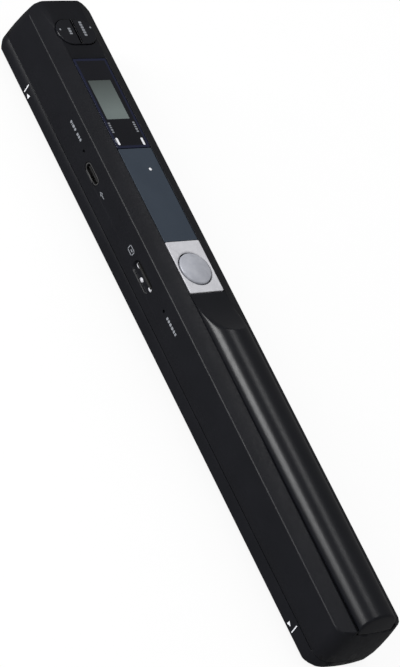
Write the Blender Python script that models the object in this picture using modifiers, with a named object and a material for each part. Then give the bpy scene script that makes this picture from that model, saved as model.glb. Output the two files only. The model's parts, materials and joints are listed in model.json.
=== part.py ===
"""Handheld document scanner, modelled as the pieces it comes apart into.

X runs along the scanner from its head (-X, the keys) to its tail (+X, the batteries), Y across it with
the sockets on the -Y side, and Z up. z = 0 is the sheet that the rollers and glide feet stand on.
All lengths are metres.
"""

import math

import bmesh
import bpy
from mathutils import Matrix, Vector

# Clearances and steps
GAP = 0.0003
RUNNING_GAP = 0.0001
OVERRUN = 0.002
WELD_DISTANCE = 0.000001
SEAM_MERGE_DISTANCE = 0.00001
SMOOTH_ANGLE = math.radians(40)
CORNER_STEPS = 4
BOW_STEPS = 8
UNDER_STEPS = 4
END_CROWN_STEPS = 5
ROUND_SIDES = 24
SMALL_SIDES = 16

# Case
BODY_WIDTH = 0.028
GROUND_CLEARANCE = 0.0008
SEAM_HEIGHT = 0.0063
SEAM_REVEAL = 0.0003
WALL_HEIGHT = 0.0208
SHOULDER_RISE = 0.0028
DECK_WIDTH = 0.01574
HUMP_RISE = 0.0056
WALL = 0.0016
TOP_EDGE_RADIUS = 0.0007
BOTTOM_EDGE_RADIUS = 0.0015
HEAD_BOW_RADIUS = 0.4
TAIL_BOW_RADIUS = 0.075
HEAD_CORNER_RADIUS = 0.0053
TAIL_CORNER_RADIUS = 0.0057
HEAD_UNDER_RADIUS = 0.0032
TAIL_UNDER_RADIUS = 0.0045
END_CROWN_RADIUS = 0.085
LIP_THICKNESS = 0.0008
LIP_HEIGHT = 0.001

HALF_WIDTH = BODY_WIDTH / 2
DECK_HALF = DECK_WIDTH / 2
BODY_BOTTOM_Z = GROUND_CLEARANCE
FLOOR_Z = BODY_BOTTOM_Z + WALL
SEAM_Z = BODY_BOTTOM_Z + SEAM_HEIGHT
LOWER_TOP_Z = SEAM_Z - SEAM_REVEAL / 2
UPPER_BOTTOM_Z = SEAM_Z + SEAM_REVEAL / 2
SHOULDER_Z = BODY_BOTTOM_Z + WALL_HEIGHT
DECK_Z = SHOULDER_Z + SHOULDER_RISE
DECK_UNDERSIDE_Z = DECK_Z - WALL
TOP_Z = DECK_Z + HUMP_RISE
INNER_HALF_WIDTH = HALF_WIDTH - WALL
SHOULDER_SLOPE = math.atan2(SHOULDER_RISE, HALF_WIDTH - DECK_HALF)

# Room along the scanner that its pieces need, whose sum is its length
WINDOW_FROM_HEAD = 0.0274
WINDOW_LENGTH = 0.0385
LABEL_LENGTH = 0.0389
PLATE_LENGTH = 0.0208
COVER_NOSE_LENGTH = 0.0206
CELL_LENGTH = 0.0505
CONTACT_THICKNESS = 0.0004
SPRING_ROOM = 0.0049
END_WALL = 0.0045

PANELS_LENGTH = WINDOW_LENGTH + GAP + LABEL_LENGTH + GAP + PLATE_LENGTH + GAP
BAY_LENGTH = 2 * (CELL_LENGTH + CONTACT_THICKNESS + GAP) + GAP + GAP + SPRING_ROOM
BODY_LENGTH = WINDOW_FROM_HEAD + PANELS_LENGTH + COVER_NOSE_LENGTH + BAY_LENGTH + END_WALL
HALF_LENGTH = BODY_LENGTH / 2
HEAD_END_X = -HALF_LENGTH
TAIL_END_X = HALF_LENGTH

# Panels let into the deck: display window, label and trim plate, from head to tail
PANEL_HALF = 0.0074
PANEL_THICKNESS = 0.0008
PANEL_CORNER_RADIUS = 0.0004
PLATE_PROUD = 0.0002

WINDOW_START_X = HEAD_END_X + WINDOW_FROM_HEAD
WINDOW_END_X = WINDOW_START_X + WINDOW_LENGTH
LABEL_START_X = WINDOW_END_X + GAP
LABEL_END_X = LABEL_START_X + LABEL_LENGTH
PLATE_START_X = LABEL_END_X + GAP
PLATE_END_X = PLATE_START_X + PLATE_LENGTH
COVER_FRONT_X = PLATE_END_X + GAP
PANEL_BOTTOM_Z = DECK_Z - PANEL_THICKNESS
RECESS_FLOOR_Z = PANEL_BOTTOM_Z - GAP

# Display
LCD_FROM_WINDOW = 0.0094
LCD_LENGTH = 0.0168
LCD_HALF = 0.0051
LCD_CENTRE_Y = -0.0004
LCD_THICKNESS = 0.0005
LCD_BODY_MARGIN = 0.0014

LCD_START_X = WINDOW_START_X + LCD_FROM_WINDOW
LCD_END_X = LCD_START_X + LCD_LENGTH

# Status light
LIGHT_FROM_LABEL = 0.0089
LIGHT_Y = 0.0025
LIGHT_RADIUS = 0.0006
LIGHT_FLANGE_RADIUS = 0.0012
LIGHT_FLANGE_THICKNESS = 0.0006
LED_SIDE = 0.0016
LED_HEIGHT = 0.0008

LIGHT_X = LABEL_START_X + LIGHT_FROM_LABEL

# Scan button
BUTTON_FROM_PLATE = 0.0112
BUTTON_RADIUS = 0.0064
BUTTON_PROUD = 0.0004
BUTTON_DOME = 0.0006
DOME_SHARES = (0.35, 0.7, 1)
BUTTON_EDGE_RADIUS = 0.0004
BUTTON_FLANGE = 0.0008
BUTTON_FLANGE_THICKNESS = 0.0008
BUTTON_STEM_RADIUS = 0.002
BUTTON_TRAVEL = 0.00045
SWITCH_SIDE = 0.006
SWITCH_HEIGHT = 0.0012
SWITCH_PLUNGER_RADIUS = 0.0016
SWITCH_PLUNGER_HEIGHT = 0.0004
SWITCH_SLACK = 0.00015

BUTTON_X = PLATE_START_X + BUTTON_FROM_PLATE

# Pair of keys at the head
KEYS_FROM_HEAD = 0.01585
KEY_HALF_LENGTH = 0.0054
KEY_REACH = 0.0083
KEY_ROUND_SHARE = 0.96
KEY_GROOVE = 0.0005
KEY_PROUD = 0.0005
KEY_FLANGE = 0.0008
KEY_FLANGE_THICKNESS = 0.0008
KEY_FLANGE_REACH = 0.0068
KEY_STEM_RADIUS = 0.0011
KEY_STEM_Y = 0.0042
KEY_TRAVEL = 0.0004
KEY_SWITCH_SIDE = 0.0042

KEYS_X = HEAD_END_X + KEYS_FROM_HEAD

# Boards
BOARDS_FROM_HEAD = 0.0084
KEY_BOARD_DROP = 0.0042
KEY_BOARD_THICKNESS = 0.001
KEY_BOARD_TAIL_GAP = 0.0018
KEY_BOARD_HALF = 0.0075
BOARD_THICKNESS = 0.001
BOARD_TAIL_GAP = 0.0025
BOARD_EDGE_GAP = 0.0004
BOARD_NOTCH_LENGTH = 0.0067
BOARD_NOTCH_Y = -0.0009
BOARD_CORNER_RADIUS = 0.0006
POST_RADIUS = 0.0014
POST_HOLE_RADIUS = 0.0006
POST_HOLE_DEPTH_SHARE = 0.8
KEY_POST_Y = 0.0052
POST_BEFORE_WINDOW = 0.002
POST_BEFORE_LABEL = 0.0063
POST_BEFORE_PLATE = 0.0065
BOARD_POST_RADIUS = 0.0016
BOARD_POST_Y = 0.0099
BOARD_POST_FROM_HEAD = 0.0339
BOARD_POST_BEFORE_PLATE = 0.0115
BOARD_POST_FROM_TAIL_EDGE = 0.0055
BOARD_SCREW_HEAD_RADIUS = 0.0013
BOARD_SCREW_HEAD_HEIGHT = 0.0007
BOARD_SCREW_SHANK_RADIUS = 0.0005
BOARD_SCREW_SHANK_LENGTH = 0.003
HEADER_FROM_LABEL = 0.0177
HEADER_LENGTH = 0.016
HEADER_WIDTH = 0.004
HEADER_Y = -0.0045

# Sockets in the -Y wall
USB_FROM_LABEL = 0.0028
USB_Z = 0.0143
USB_WIDTH = 0.009
USB_HEIGHT = 0.0032
USB_SHEET = 0.0003
USB_DEPTH = 0.0073
USB_SET_BACK = 0.0002
USB_TONGUE_WIDTH = 0.0066
USB_TONGUE_THICKNESS = 0.0007
USB_BASE_DEPTH = 0.0012
CARD_FROM_PLATE = 0.0064
CARD_Z = 0.0146
CARD_WIDTH = 0.011
CARD_LENGTH = 0.015
CARD_THICKNESS = 0.0008
CARD_PROUD = 0.0006
CARD_CORNER_RADIUS = 0.0005
CARD_SHEET = 0.0004
CARD_SIDE_RAIL = 0.0016
NOTCH_WIDTH = 0.013
NOTCH_HEIGHT = 0.005
NOTCH_CENTRE_Z = 0.0138
NOTCH_DEPTH = 0.001
NOTCH_RADIUS = 0.0022
PIN_HOLE_RADIUS = 0.0006
TIME_BEFORE_USB = 0.0086
FORMAT_FROM_COVER = 0.00055
PIN_Z = 0.0158
PIN_SWITCH_WIDTH = 0.0036
PIN_SWITCH_DEPTH = 0.0034
PIN_SWITCH_RISE = 0.0012
PLUNGER_RADIUS = 0.0008
PLUNGER_LENGTH = 0.0012
PLUNGER_PROUD = 0.0004
PLUNGER_TRAVEL = 0.00025
PLUNGER_SLACK = 0.00015

USB_X = LABEL_START_X + USB_FROM_LABEL
CARD_X = PLATE_START_X + CARD_FROM_PLATE
TIME_X = USB_X - TIME_BEFORE_USB
FORMAT_X = COVER_FRONT_X + FORMAT_FROM_COVER

# Battery bay, two cells end to end
CELL_RADIUS = 0.00725
NUB_RADIUS = 0.0027
NUB_HEIGHT = 0.001
CELL_EDGE_RADIUS = 0.0006
CELL_SINK = 0.0048
BAY_WALL = 0.0012
CONTACT_HALF = 0.0048
CONTACT_HEIGHT = 0.0088
SPRING_RADIUS = 0.0026
SPRING_WIRE_RADIUS = 0.0003
SPRING_TURNS = 4
SPRING_TURN_POINTS = 12

CELL_AXIS_Z = DECK_Z - CELL_SINK
CELL_TOP_Z = CELL_AXIS_Z + CELL_RADIUS
BAY_HALF = CELL_RADIUS + GAP
BAY_FLOOR_Z = CELL_AXIS_Z - BAY_HALF
BAY_END_X = TAIL_END_X - END_WALL
SPRING_PLATE_X = BAY_END_X - GAP - CONTACT_THICKNESS
REAR_CELL_END_X = SPRING_PLATE_X - SPRING_ROOM
REAR_CELL_X = REAR_CELL_END_X - CELL_LENGTH
FRONT_CELL_X = REAR_CELL_X - GAP - CELL_LENGTH
FRONT_CONTACT_X = FRONT_CELL_X - GAP - CONTACT_THICKNESS
BAY_START_X = FRONT_CONTACT_X - GAP
BAY_FRONT_X = BAY_START_X - BAY_WALL

# Battery cover: hump, thumb ramp and hooks
RAMP_RADIUS = 0.034
RAMP_STEPS = 10
HUMP_STEPS = 16
HUMP_WALL = 0.0012
SKIRT_WALL = 0.00075
SKIRT_DEPTH = 0.00185
COVER_CREASE = 0.00015
COVER_TRAVEL = 0.0032
COVER_RIB_THICKNESS = 0.001
COVER_RIBS = 4
HOOK_WIDTH = 0.001
HOOK_LEG = 0.0008
HOOK_TOE = 0.001
HOOK_THICKNESS = 0.0006
FRONT_HOOK_FROM_COVER = 0.0064
FRONT_HOOK_Y = 0.0045
TAIL_HOOK_Y = 0.0063
SHELF_THICKNESS = 0.00135
SHELF_OVERLAP = 0.0014
RAIL_WALL = 0.0018
TAIL_LEDGE_START_X = REAR_CELL_END_X + GAP
TAIL_LEDGE_WALL = 0.0008

FRONT_HOOK_X = COVER_FRONT_X + FRONT_HOOK_FROM_COVER
COVER_HALF = DECK_HALF - COVER_CREASE
OPENING_HALF = COVER_HALF + GAP
SKIRT_BOTTOM_Z = DECK_Z - SKIRT_DEPTH
SHELF_TOP_Z = SKIRT_BOTTOM_Z - GAP
SHELF_BOTTOM_Z = SHELF_TOP_Z - SHELF_THICKNESS
HOOK_TOP_Z = SHELF_BOTTOM_Z - GAP
TAIL_HOOK_X = TAIL_LEDGE_START_X + TAIL_LEDGE_WALL + GAP

# Contact image sensor along the underside
SENSOR_FROM_HEAD = 0.0214
SENSOR_FROM_TAIL = 0.0121
SENSOR_CENTRE_Y = -0.0034
SENSOR_HALF = 0.0061
SENSOR_HEIGHT = 0.0073
GLASS_INSET = 0.0023
GLASS_HALF = 0.0055
GLASS_THICKNESS = 0.0012
LENS_SLOT_HALF = 0.001
LENS_SLOT_HEIGHT = 0.0061
LENS_HEIGHT = 0.0044
GUIDE_OFFSET_Y = -0.0033
GUIDE_RADIUS = 0.0012
SENSOR_BOARD_HALF = 0.0048
SENSOR_BOARD_THICKNESS = 0.001

SENSOR_START_X = HEAD_END_X + SENSOR_FROM_HEAD
SENSOR_END_X = TAIL_END_X - SENSOR_FROM_TAIL
GLASS_START_X = SENSOR_START_X + GLASS_INSET
GLASS_END_X = SENSOR_END_X - GLASS_INSET
SENSOR_BOTTOM_Z = FLOOR_Z + GAP
SENSOR_TOP_Z = SENSOR_BOTTOM_Z + SENSOR_HEIGHT

# Feed rollers, their shaft and the travel encoder
ROLLER_RADIUS = 0.0042
ROLLER_LENGTH = 0.008
HEAD_ROLLER_FROM_END = 0.0189
TAIL_ROLLER_FROM_END = 0.0206
SHAFT_Y = 0.0076
SHAFT_RADIUS = 0.001
SHAFT_FROM_HEAD = 0.0069
SHAFT_FROM_TAIL = 0.0128
BUSH_RADIUS = 0.0019
BUSH_LENGTH = 0.0026
BUSH_FROM_SHAFT_END = 0.0016
STEADY_FROM_ROLLER = 0.0068
SADDLE_THICKNESS = 0.0018
SADDLE_HALF = 0.0028
GEAR_MODULE = 0.0003
PINION_TEETH = 12
ENCODER_TEETH = 30
ADDENDUM_SHARE = 0.9
DEDENDUM_SHARE = 1.2
FLANK_SHARE = 0.364
ROOT_TURN_SHARE = 0.86
BACKLASH = 0.0001
PINION_FROM_HEAD = 0.0134
PINION_LENGTH = 0.0024
ENCODER_OFFSET_Y = -0.003
ENCODER_GEAR_LENGTH = 0.0018
DISC_FROM_PINION = 0.0027
DISC_THICKNESS = 0.0005
DISC_RADIUS = 0.0053
DISC_SLOTS = 12
DISC_SLOT_INNER_SHARE = 0.74
DISC_SLOT_OUTER_SHARE = 0.92
DISC_SLOT_TURN_SHARE = 0.45
HUB_RADIUS = 0.0016
PIN_RADIUS = 0.00075
PIN_HEAD_REACH = 0.0071
PIN_TAIL_REACH = 0.0013
PIN_RIB_THICKNESS = 0.0018
PIN_RIB_HALF = 0.0022
FORK_SLOT = 0.0012
FORK_ARM = 0.0009
FORK_HALF_HEIGHT = 0.0016
FORK_REACH = 0.0014
FORK_BASE_DEPTH = 0.004

HEAD_ROLLER_X = HEAD_END_X + HEAD_ROLLER_FROM_END
TAIL_ROLLER_X = TAIL_END_X - TAIL_ROLLER_FROM_END
SHAFT_HEAD_X = HEAD_END_X + SHAFT_FROM_HEAD
SHAFT_TAIL_X = TAIL_END_X - SHAFT_FROM_TAIL
BUSH_XS = (SHAFT_HEAD_X + BUSH_FROM_SHAFT_END, SHAFT_TAIL_X - BUSH_FROM_SHAFT_END)
STEADY_XS = (HEAD_ROLLER_X + STEADY_FROM_ROLLER, TAIL_ROLLER_X - STEADY_FROM_ROLLER)
PINION_X = HEAD_END_X + PINION_FROM_HEAD
DISC_X = PINION_X - DISC_FROM_PINION
PIN_HEAD_X = PINION_X - PIN_HEAD_REACH
PIN_TAIL_X = PINION_X + PIN_TAIL_REACH
SHAFT_Z = ROLLER_RADIUS
PINION_PITCH_RADIUS = GEAR_MODULE * PINION_TEETH / 2
ENCODER_PITCH_RADIUS = GEAR_MODULE * ENCODER_TEETH / 2
GEAR_DISTANCE = PINION_PITCH_RADIUS + ENCODER_PITCH_RADIUS
ENCODER_Y = SHAFT_Y + ENCODER_OFFSET_Y
ENCODER_Z = SHAFT_Z + math.sqrt(GEAR_DISTANCE**2 - ENCODER_OFFSET_Y**2)

# Fasteners and feet
SCREW_FROM_HEAD = 0.0051
SCREW_FROM_TAIL = 0.0068
SCREW_Y = 0.0099
SCREW_HEAD_RADIUS = 0.0018
SCREW_HEAD_HEIGHT = 0.0012
SCREW_SHANK_RADIUS = 0.0008
SCREW_SHANK_LENGTH = 0.009
SCREW_SINK = 0.0006
BOSS_RADIUS = 0.0019
POST_WALL = 0.0009
FOOT_LENGTH = 0.014
FOOT_HALF = 0.001
FOOT_FROM_ROLLER = 0.012
FOOT_Y = -0.0112
FOOT_SEAT = 0.0005
GUSSET_THICKNESS = 0.001
GUSSET_PITCH = 0.025
GUSSET_HEIGHT = 0.0048

SCREW_XS = (HEAD_END_X + SCREW_FROM_HEAD, TAIL_END_X - SCREW_FROM_TAIL)
HEAD_FOOT_X = HEAD_ROLLER_X + FOOT_FROM_ROLLER
TAIL_FOOT_X = TAIL_ROLLER_X - FOOT_FROM_ROLLER

# Chips on the main board: centre x, centre y, length, width, as shares of the board's own size
CHIP_SHARES = {
    "processor_chip": (0.48, 0.62, 0.09, 0.50),
    "memory_chip": (0.30, 0.60, 0.05, 0.30),
}
CHIP_HEIGHT = 0.0012

KEY_BOARD_TOP_Z = DECK_UNDERSIDE_Z - KEY_BOARD_DROP
KEY_BOARD_START_X = HEAD_END_X + BOARDS_FROM_HEAD
KEY_BOARD_END_X = COVER_FRONT_X - KEY_BOARD_TAIL_GAP
KEY_POST_XS = (
    WINDOW_START_X - POST_BEFORE_WINDOW,
    LABEL_START_X - POST_BEFORE_LABEL,
    PLATE_START_X - POST_BEFORE_PLATE,
)
BOARD_START_X = HEAD_END_X + BOARDS_FROM_HEAD
BOARD_END_X = BAY_FRONT_X - BOARD_TAIL_GAP
BOARD_NOTCH_X = BOARD_START_X + BOARD_NOTCH_LENGTH
BOARD_TOP_Z = USB_Z - USB_HEIGHT / 2 - GAP
BOARD_BOTTOM_Z = BOARD_TOP_Z - BOARD_THICKNESS
BOARD_HALF = INNER_HALF_WIDTH - BOARD_EDGE_GAP
BOARD_POST_XS = (
    HEAD_END_X + BOARD_POST_FROM_HEAD,
    PLATE_START_X - BOARD_POST_BEFORE_PLATE,
    BOARD_END_X - BOARD_POST_FROM_TAIL_EDGE,
)
HEADER_X = LABEL_START_X + HEADER_FROM_LABEL

# Finishes: base colour, roughness, metallic
FINISHES = {
    "black_case": ((0.012, 0.012, 0.014), 0.42, 0.0),
    "black_cover": ((0.010, 0.010, 0.012), 0.36, 0.0),
    "dark_window": ((0.006, 0.007, 0.009), 0.08, 0.0),
    "grey_display": ((0.10, 0.12, 0.12), 0.25, 0.0),
    "slate_label": ((0.03, 0.045, 0.065), 0.30, 0.0),
    "satin_silver": ((0.56, 0.57, 0.60), 0.33, 0.9),
    "silver_plastic": ((0.42, 0.43, 0.47), 0.38, 0.3),
    "clear_plastic": ((0.75, 0.78, 0.80), 0.15, 0.0),
    "white_plastic": ((0.70, 0.70, 0.66), 0.45, 0.0),
    "grey_plastic": ((0.18, 0.18, 0.19), 0.50, 0.0),
    "green_board": ((0.02, 0.16, 0.07), 0.45, 0.0),
    "black_resin": ((0.02, 0.02, 0.02), 0.50, 0.0),
    "tin_plate": ((0.62, 0.62, 0.60), 0.28, 1.0),
    "steel": ((0.55, 0.55, 0.56), 0.25, 1.0),
    "black_rubber": ((0.02, 0.02, 0.02), 0.85, 0.0),
    "clear_glass": ((0.60, 0.70, 0.68), 0.05, 0.0),
    "cell_jacket": ((0.05, 0.05, 0.06), 0.30, 0.2),
}

# Turns that lay a shape's local Z along each axis
ALONG_X = Matrix(((0, 0, 1), (1, 0, 0), (0, 1, 0))).to_4x4()
ALONG_Y = Matrix(((1, 0, 0), (0, 0, -1), (0, 1, 0))).to_4x4()
ALONG_Z = Matrix.Identity(4)


def clear_scene():
    """Removes every object that the file opened with."""
    for obj in list(bpy.data.objects):
        bpy.data.objects.remove(obj, do_unlink=True)


def new_collection(name):
    """Adds a collection to the scene."""
    collection = bpy.data.collections.new(name)
    bpy.context.scene.collection.children.link(collection)
    return collection


def new_object(name, data, matrix):
    """Adds an object to the cutters, where it stays unless as_part() makes it a piece."""
    obj = bpy.data.objects.new(name, data)
    cutters.objects.link(obj)
    obj.matrix_world = matrix
    obj.hide_render = True
    obj.display_type = "WIRE"
    return obj


def as_part(obj, name, finish):
    """Makes a shape one named piece of the scanner with its own material."""
    colour, roughness, metallic = FINISHES[finish]
    material = bpy.data.materials.new(name + "_" + finish)
    material.use_nodes = True
    shader = material.node_tree.nodes["Principled BSDF"]
    shader.inputs["Base Color"].default_value = (*colour, 1)
    shader.inputs["Roughness"].default_value = roughness
    shader.inputs["Metallic"].default_value = metallic
    material.diffuse_color = (*colour, 1)
    obj.data.materials.clear()
    obj.data.materials.append(material)
    obj.name = name
    cutters.objects.unlink(obj)
    parts.objects.link(obj)
    obj.hide_render = False
    obj.display_type = "TEXTURED"
    return obj


def arc(centre, radius, start, end, steps):
    """Points along an arc, both ends included."""
    turns = [start + (end - start) * step / steps for step in range(steps + 1)]
    return [(centre[0] + radius * math.cos(turn), centre[1] + radius * math.sin(turn)) for turn in turns]


def rounded(corners, steps=CORNER_STEPS):
    """Closed outline through (u, v, radius) corners, each corner with a radius drawn as an arc."""
    points = []
    for index, (u, v, radius) in enumerate(corners):
        here = Vector((u, v))
        if radius <= 0:
            points.append((u, v))
            continue
        back = (Vector(corners[index - 1][:2]) - here).normalized()
        ahead = (Vector(corners[(index + 1) % len(corners)][:2]) - here).normalized()
        half = back.angle(ahead) / 2
        centre = here + (back + ahead).normalized() * (radius / math.sin(half))
        first = here + back * (radius / math.tan(half)) - centre
        last = here + ahead * (radius / math.tan(half)) - centre
        start = math.atan2(first.y, first.x)
        turn = (math.atan2(last.y, last.x) - start + math.pi) % math.tau - math.pi
        points += arc(centre, radius, start, start + turn, steps)
    return points


def rounded_rectangle(u_low, u_high, v_low, v_high, radius, steps=CORNER_STEPS):
    """Rectangle with equal corner arcs."""
    places = ((u_low, v_low), (u_high, v_low), (u_high, v_high), (u_low, v_high))
    corners = [(u, v, radius) for u, v in places]
    return rounded(corners, steps)


def rectangle(u_low, u_high, v_low, v_high):
    """Plain rectangle."""
    return [(u_low, v_low), (u_high, v_low), (u_high, v_high), (u_low, v_high)]


def circle(centre, radius, sides=ROUND_SIDES):
    """Closed outline of a round hole or disc."""
    return arc(centre, radius, 0, math.tau, sides)[:-1]


def mirrored(half):
    """Closes an outline drawn on the positive side of its first axis with its mirror image."""
    return list(half) + [(-u, v) for u, v in reversed(half)]


def extruded(outlines, turn, low, high):
    """Solid between two planes from a flat outline and the outlines of its holes."""
    curve = bpy.data.curves.new("outline", "CURVE")
    curve.dimensions = "2D"
    curve.fill_mode = "BOTH"
    curve.extrude = (high - low) / 2
    for outline in outlines:
        spline = curve.splines.new("POLY")
        spline.points.add(len(outline) - 1)
        spline.use_cyclic_u = True
        for point, (u, v) in zip(spline.points, outline):
            point.co = (u, v, 0, 1)
    matrix = turn @ Matrix.Translation((0, 0, (low + high) / 2 * turn_sign(turn)))
    return mesh_of_curve(new_object("outline", curve, matrix))


def turn_sign(turn):
    """Tells whether the turned Z axis runs up its world axis or down it."""
    return 1 if sum(turn.to_3x3().col[2]) > 0 else -1


def mesh_of_curve(guide):
    """Replaces a curve object with its mesh, its caps welded on."""
    graph = bpy.context.evaluated_depsgraph_get()
    mesh = bpy.data.meshes.new_from_object(guide.evaluated_get(graph))
    weld = bmesh.new()
    weld.from_mesh(mesh)
    bmesh.ops.remove_doubles(weld, verts=weld.verts, dist=WELD_DISTANCE)
    bmesh.ops.recalc_face_normals(weld, faces=weld.faces)
    weld.to_mesh(mesh)
    weld.free()
    obj = new_object("solid", mesh, guide.matrix_world.copy())
    bpy.data.objects.remove(guide, do_unlink=True)
    return obj


def slab(outlines, low, high):
    """Outline in x and y, between two heights."""
    return extruded(outlines, ALONG_Z, low, high)


def prism(outlines, start, end):
    """Section in y and z, drawn along X."""
    return extruded(outlines, ALONG_X, start, end)


def through_side(outlines, start, end):
    """Outline in x and z, drawn along Y."""
    return extruded(outlines, ALONG_Y, start, end)


def block(low, high):
    """Box between two opposite corners."""
    centre = (Vector(low) + Vector(high)) / 2
    mesh = bpy.data.meshes.new("block")
    cube = bmesh.new()
    bmesh.ops.create_cube(cube, size=1)
    bmesh.ops.scale(cube, vec=Vector(high) - Vector(low), verts=cube.verts)
    cube.to_mesh(mesh)
    cube.free()
    return new_object("block", mesh, Matrix.Translation(centre))


def cylinder(turn, centre, radius, length, sides=SMALL_SIDES):
    """Cylinder about its centre, its axis laid along one of the world's axes."""
    mesh = bpy.data.meshes.new("cylinder")
    cone = bmesh.new()
    bmesh.ops.create_cone(cone, cap_ends=True, segments=sides, radius1=radius, radius2=radius, depth=length)
    cone.to_mesh(mesh)
    cone.free()
    obj = new_object("cylinder", mesh, Matrix.Translation(centre) @ turn)
    obj.data.shade_smooth()
    obj.data.set_sharp_from_angle(angle=SMOOTH_ANGLE)
    return obj


def turned(turn, place, profile, closed=False, sides=ROUND_SIDES):
    """Turned solid from (radius, height) points that run down its outer side."""
    mesh = bpy.data.meshes.new("turned")
    line = bmesh.new()
    points = [line.verts.new((radius, 0, height)) for radius, height in profile]
    pairs = list(zip(points, points[1:]))
    if closed:
        pairs.append((points[-1], points[0]))
    for pair in pairs:
        line.edges.new(pair)
    line.to_mesh(mesh)
    line.free()
    obj = new_object("turned", mesh, Matrix.Translation(place) @ turn)
    screw = obj.modifiers.new("Turn", "SCREW")
    screw.steps = sides
    screw.render_steps = sides
    screw.use_merge_vertices = True
    screw.merge_threshold = SEAM_MERGE_DISTANCE
    return obj


def combine(target, others, operation, solver):
    """Adds one Boolean for each of the other shapes."""
    for other in others:
        modifier = target.modifiers.new(operation.title(), "BOOLEAN")
        modifier.operation = operation
        modifier.solver = solver
        modifier.object = other
    return target


def cut(target, others, solver="EXACT"):
    """Takes the other shapes out of the target."""
    return combine(target, others, "DIFFERENCE", solver)


def add(target, others, solver="EXACT"):
    """Joins the other shapes to the target."""
    return combine(target, others, "UNION", solver)


def keep_inside(target, others, solver="EXACT"):
    """Keeps only what lies inside the other shapes."""
    return combine(target, others, "INTERSECT", solver)


def case_plan(inset):
    """The case seen from above, moved in by inset: bowed ends joined to the sides by corner arcs."""
    outline = []
    for side, bow, corner in (
        (1, TAIL_BOW_RADIUS, TAIL_CORNER_RADIUS),
        (-1, HEAD_BOW_RADIUS, HEAD_CORNER_RADIUS),
    ):
        bow_x = HALF_LENGTH - bow
        corner_y = HALF_WIDTH - corner
        corner_x = bow_x + math.sqrt((bow - corner) ** 2 - corner_y**2)
        reach = math.asin(corner_y / (bow - corner))
        end = arc((corner_x, -corner_y), corner - inset, -math.pi / 2, -reach, CORNER_STEPS)
        end += arc((bow_x, 0), bow - inset, -reach, reach, BOW_STEPS)[1:-1]
        end += arc((corner_x, corner_y), corner - inset, reach, math.pi / 2, CORNER_STEPS)
        outline += [(side * x, side * y) for x, y in end]
    return outline


def upper_section(inset, low):
    """Section of the case above the seam: side wall, sloping shoulder and flat deck, moved in by inset."""
    half = HALF_WIDTH - inset
    shoulder_z = SHOULDER_Z - inset * math.tan((math.pi / 2 - SHOULDER_SLOPE) / 2)
    deck_half = DECK_HALF - inset * math.tan(SHOULDER_SLOPE / 2)
    deck_z = DECK_Z - inset
    corners = (
        (half, low, 0),
        (half, shoulder_z, TOP_EDGE_RADIUS),
        (deck_half, deck_z, 0),
        (-deck_half, deck_z, 0),
        (-half, shoulder_z, TOP_EDGE_RADIUS),
        (-half, low, 0),
    )
    return rounded(corners)


def lower_section(inset, high):
    """Section of the case below the seam, moved in by inset."""
    half = HALF_WIDTH - inset
    low = BODY_BOTTOM_Z + inset
    radius = BOTTOM_EDGE_RADIUS - min(inset, BOTTOM_EDGE_RADIUS / 2)
    return rounded(((-half, high, 0), (-half, low, radius), (half, low, radius), (half, high, 0)))


def end_drop(x, z, inset):
    """How far an end lies in from its furthest reach: crowned above the seam, rounded below it."""
    above = max(0, z - SEAM_Z)
    crown = END_CROWN_RADIUS - math.sqrt(END_CROWN_RADIUS**2 - above**2)
    under_radius = HEAD_UNDER_RADIUS if x < 0 else TAIL_UNDER_RADIUS
    radius = under_radius - inset
    below = min(max(0, BODY_BOTTOM_Z + under_radius - z), radius)
    return crown + radius - math.sqrt(radius**2 - below**2)


def end_levels():
    """Heights at which the case's ends are given their shape."""
    crown = [SEAM_Z + (TOP_Z - SEAM_Z) * step / END_CROWN_STEPS for step in range(END_CROWN_STEPS + 1)]
    under = []
    for radius in (HEAD_UNDER_RADIUS, TAIL_UNDER_RADIUS):
        turns = [math.pi / 2 * step / UNDER_STEPS for step in range(UNDER_STEPS)]
        under += [BODY_BOTTOM_Z + radius * (1 - math.cos(turn)) for turn in turns[1:]]
    return crown + under


def case_block(inset):
    """The case's plan drawn up past its top, with both ends crowned and rounded under, moved in by inset."""
    low = -OVERRUN
    high = TOP_Z + OVERRUN
    solid = slab([case_plan(inset)], low, high)
    middle_z = (low + high) / 2
    form = bmesh.new()
    form.from_mesh(solid.data)
    for level in end_levels():
        pieces = form.verts[:] + form.edges[:] + form.faces[:]
        bmesh.ops.bisect_plane(form, geom=pieces, plane_co=(0, 0, level - middle_z), plane_no=(0, 0, 1))
    for vertex in form.verts:
        drop = end_drop(vertex.co.x, vertex.co.z + middle_z, inset)
        vertex.co.x -= math.copysign(drop, vertex.co.x)
    form.to_mesh(solid.data)
    form.free()
    return solid


def case_form(section, inset):
    """A section drawn through the case and trimmed to its plan and ends, moved in by inset."""
    form = prism([section], -HALF_LENGTH - OVERRUN, HALF_LENGTH + OVERRUN)
    return keep_inside(form, [case_block(inset)])


def ramp_outline(drop):
    """Side view of what lies under the thumb ramp and the hump's top, both lowered by drop."""
    radius = RAMP_RADIUS + drop
    top = TOP_Z + OVERRUN
    centre = (COVER_FRONT_X, DECK_Z + RAMP_RADIUS)
    end = math.acos((centre[1] - top) / radius) - math.pi / 2
    points = [(COVER_FRONT_X - OVERRUN, 0), (COVER_FRONT_X - OVERRUN, DECK_Z - drop)]
    points += arc(centre, radius, -math.pi / 2, end, RAMP_STEPS)
    return points + [(HALF_LENGTH + OVERRUN, top), (HALF_LENGTH + OVERRUN, 0)]


def hump_arch(inset, low):
    """The hump's half ellipse, moved in by inset and cut off at a height."""
    reach = COVER_HALF - inset
    rise = HUMP_RISE - inset
    start = math.asin(max(0, low - DECK_Z) / rise)
    turns = [start + (math.pi - 2 * start) * step / HUMP_STEPS for step in range(HUMP_STEPS + 1)]
    return [(reach * math.cos(turn), DECK_Z + rise * math.sin(turn)) for turn in turns]


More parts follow.
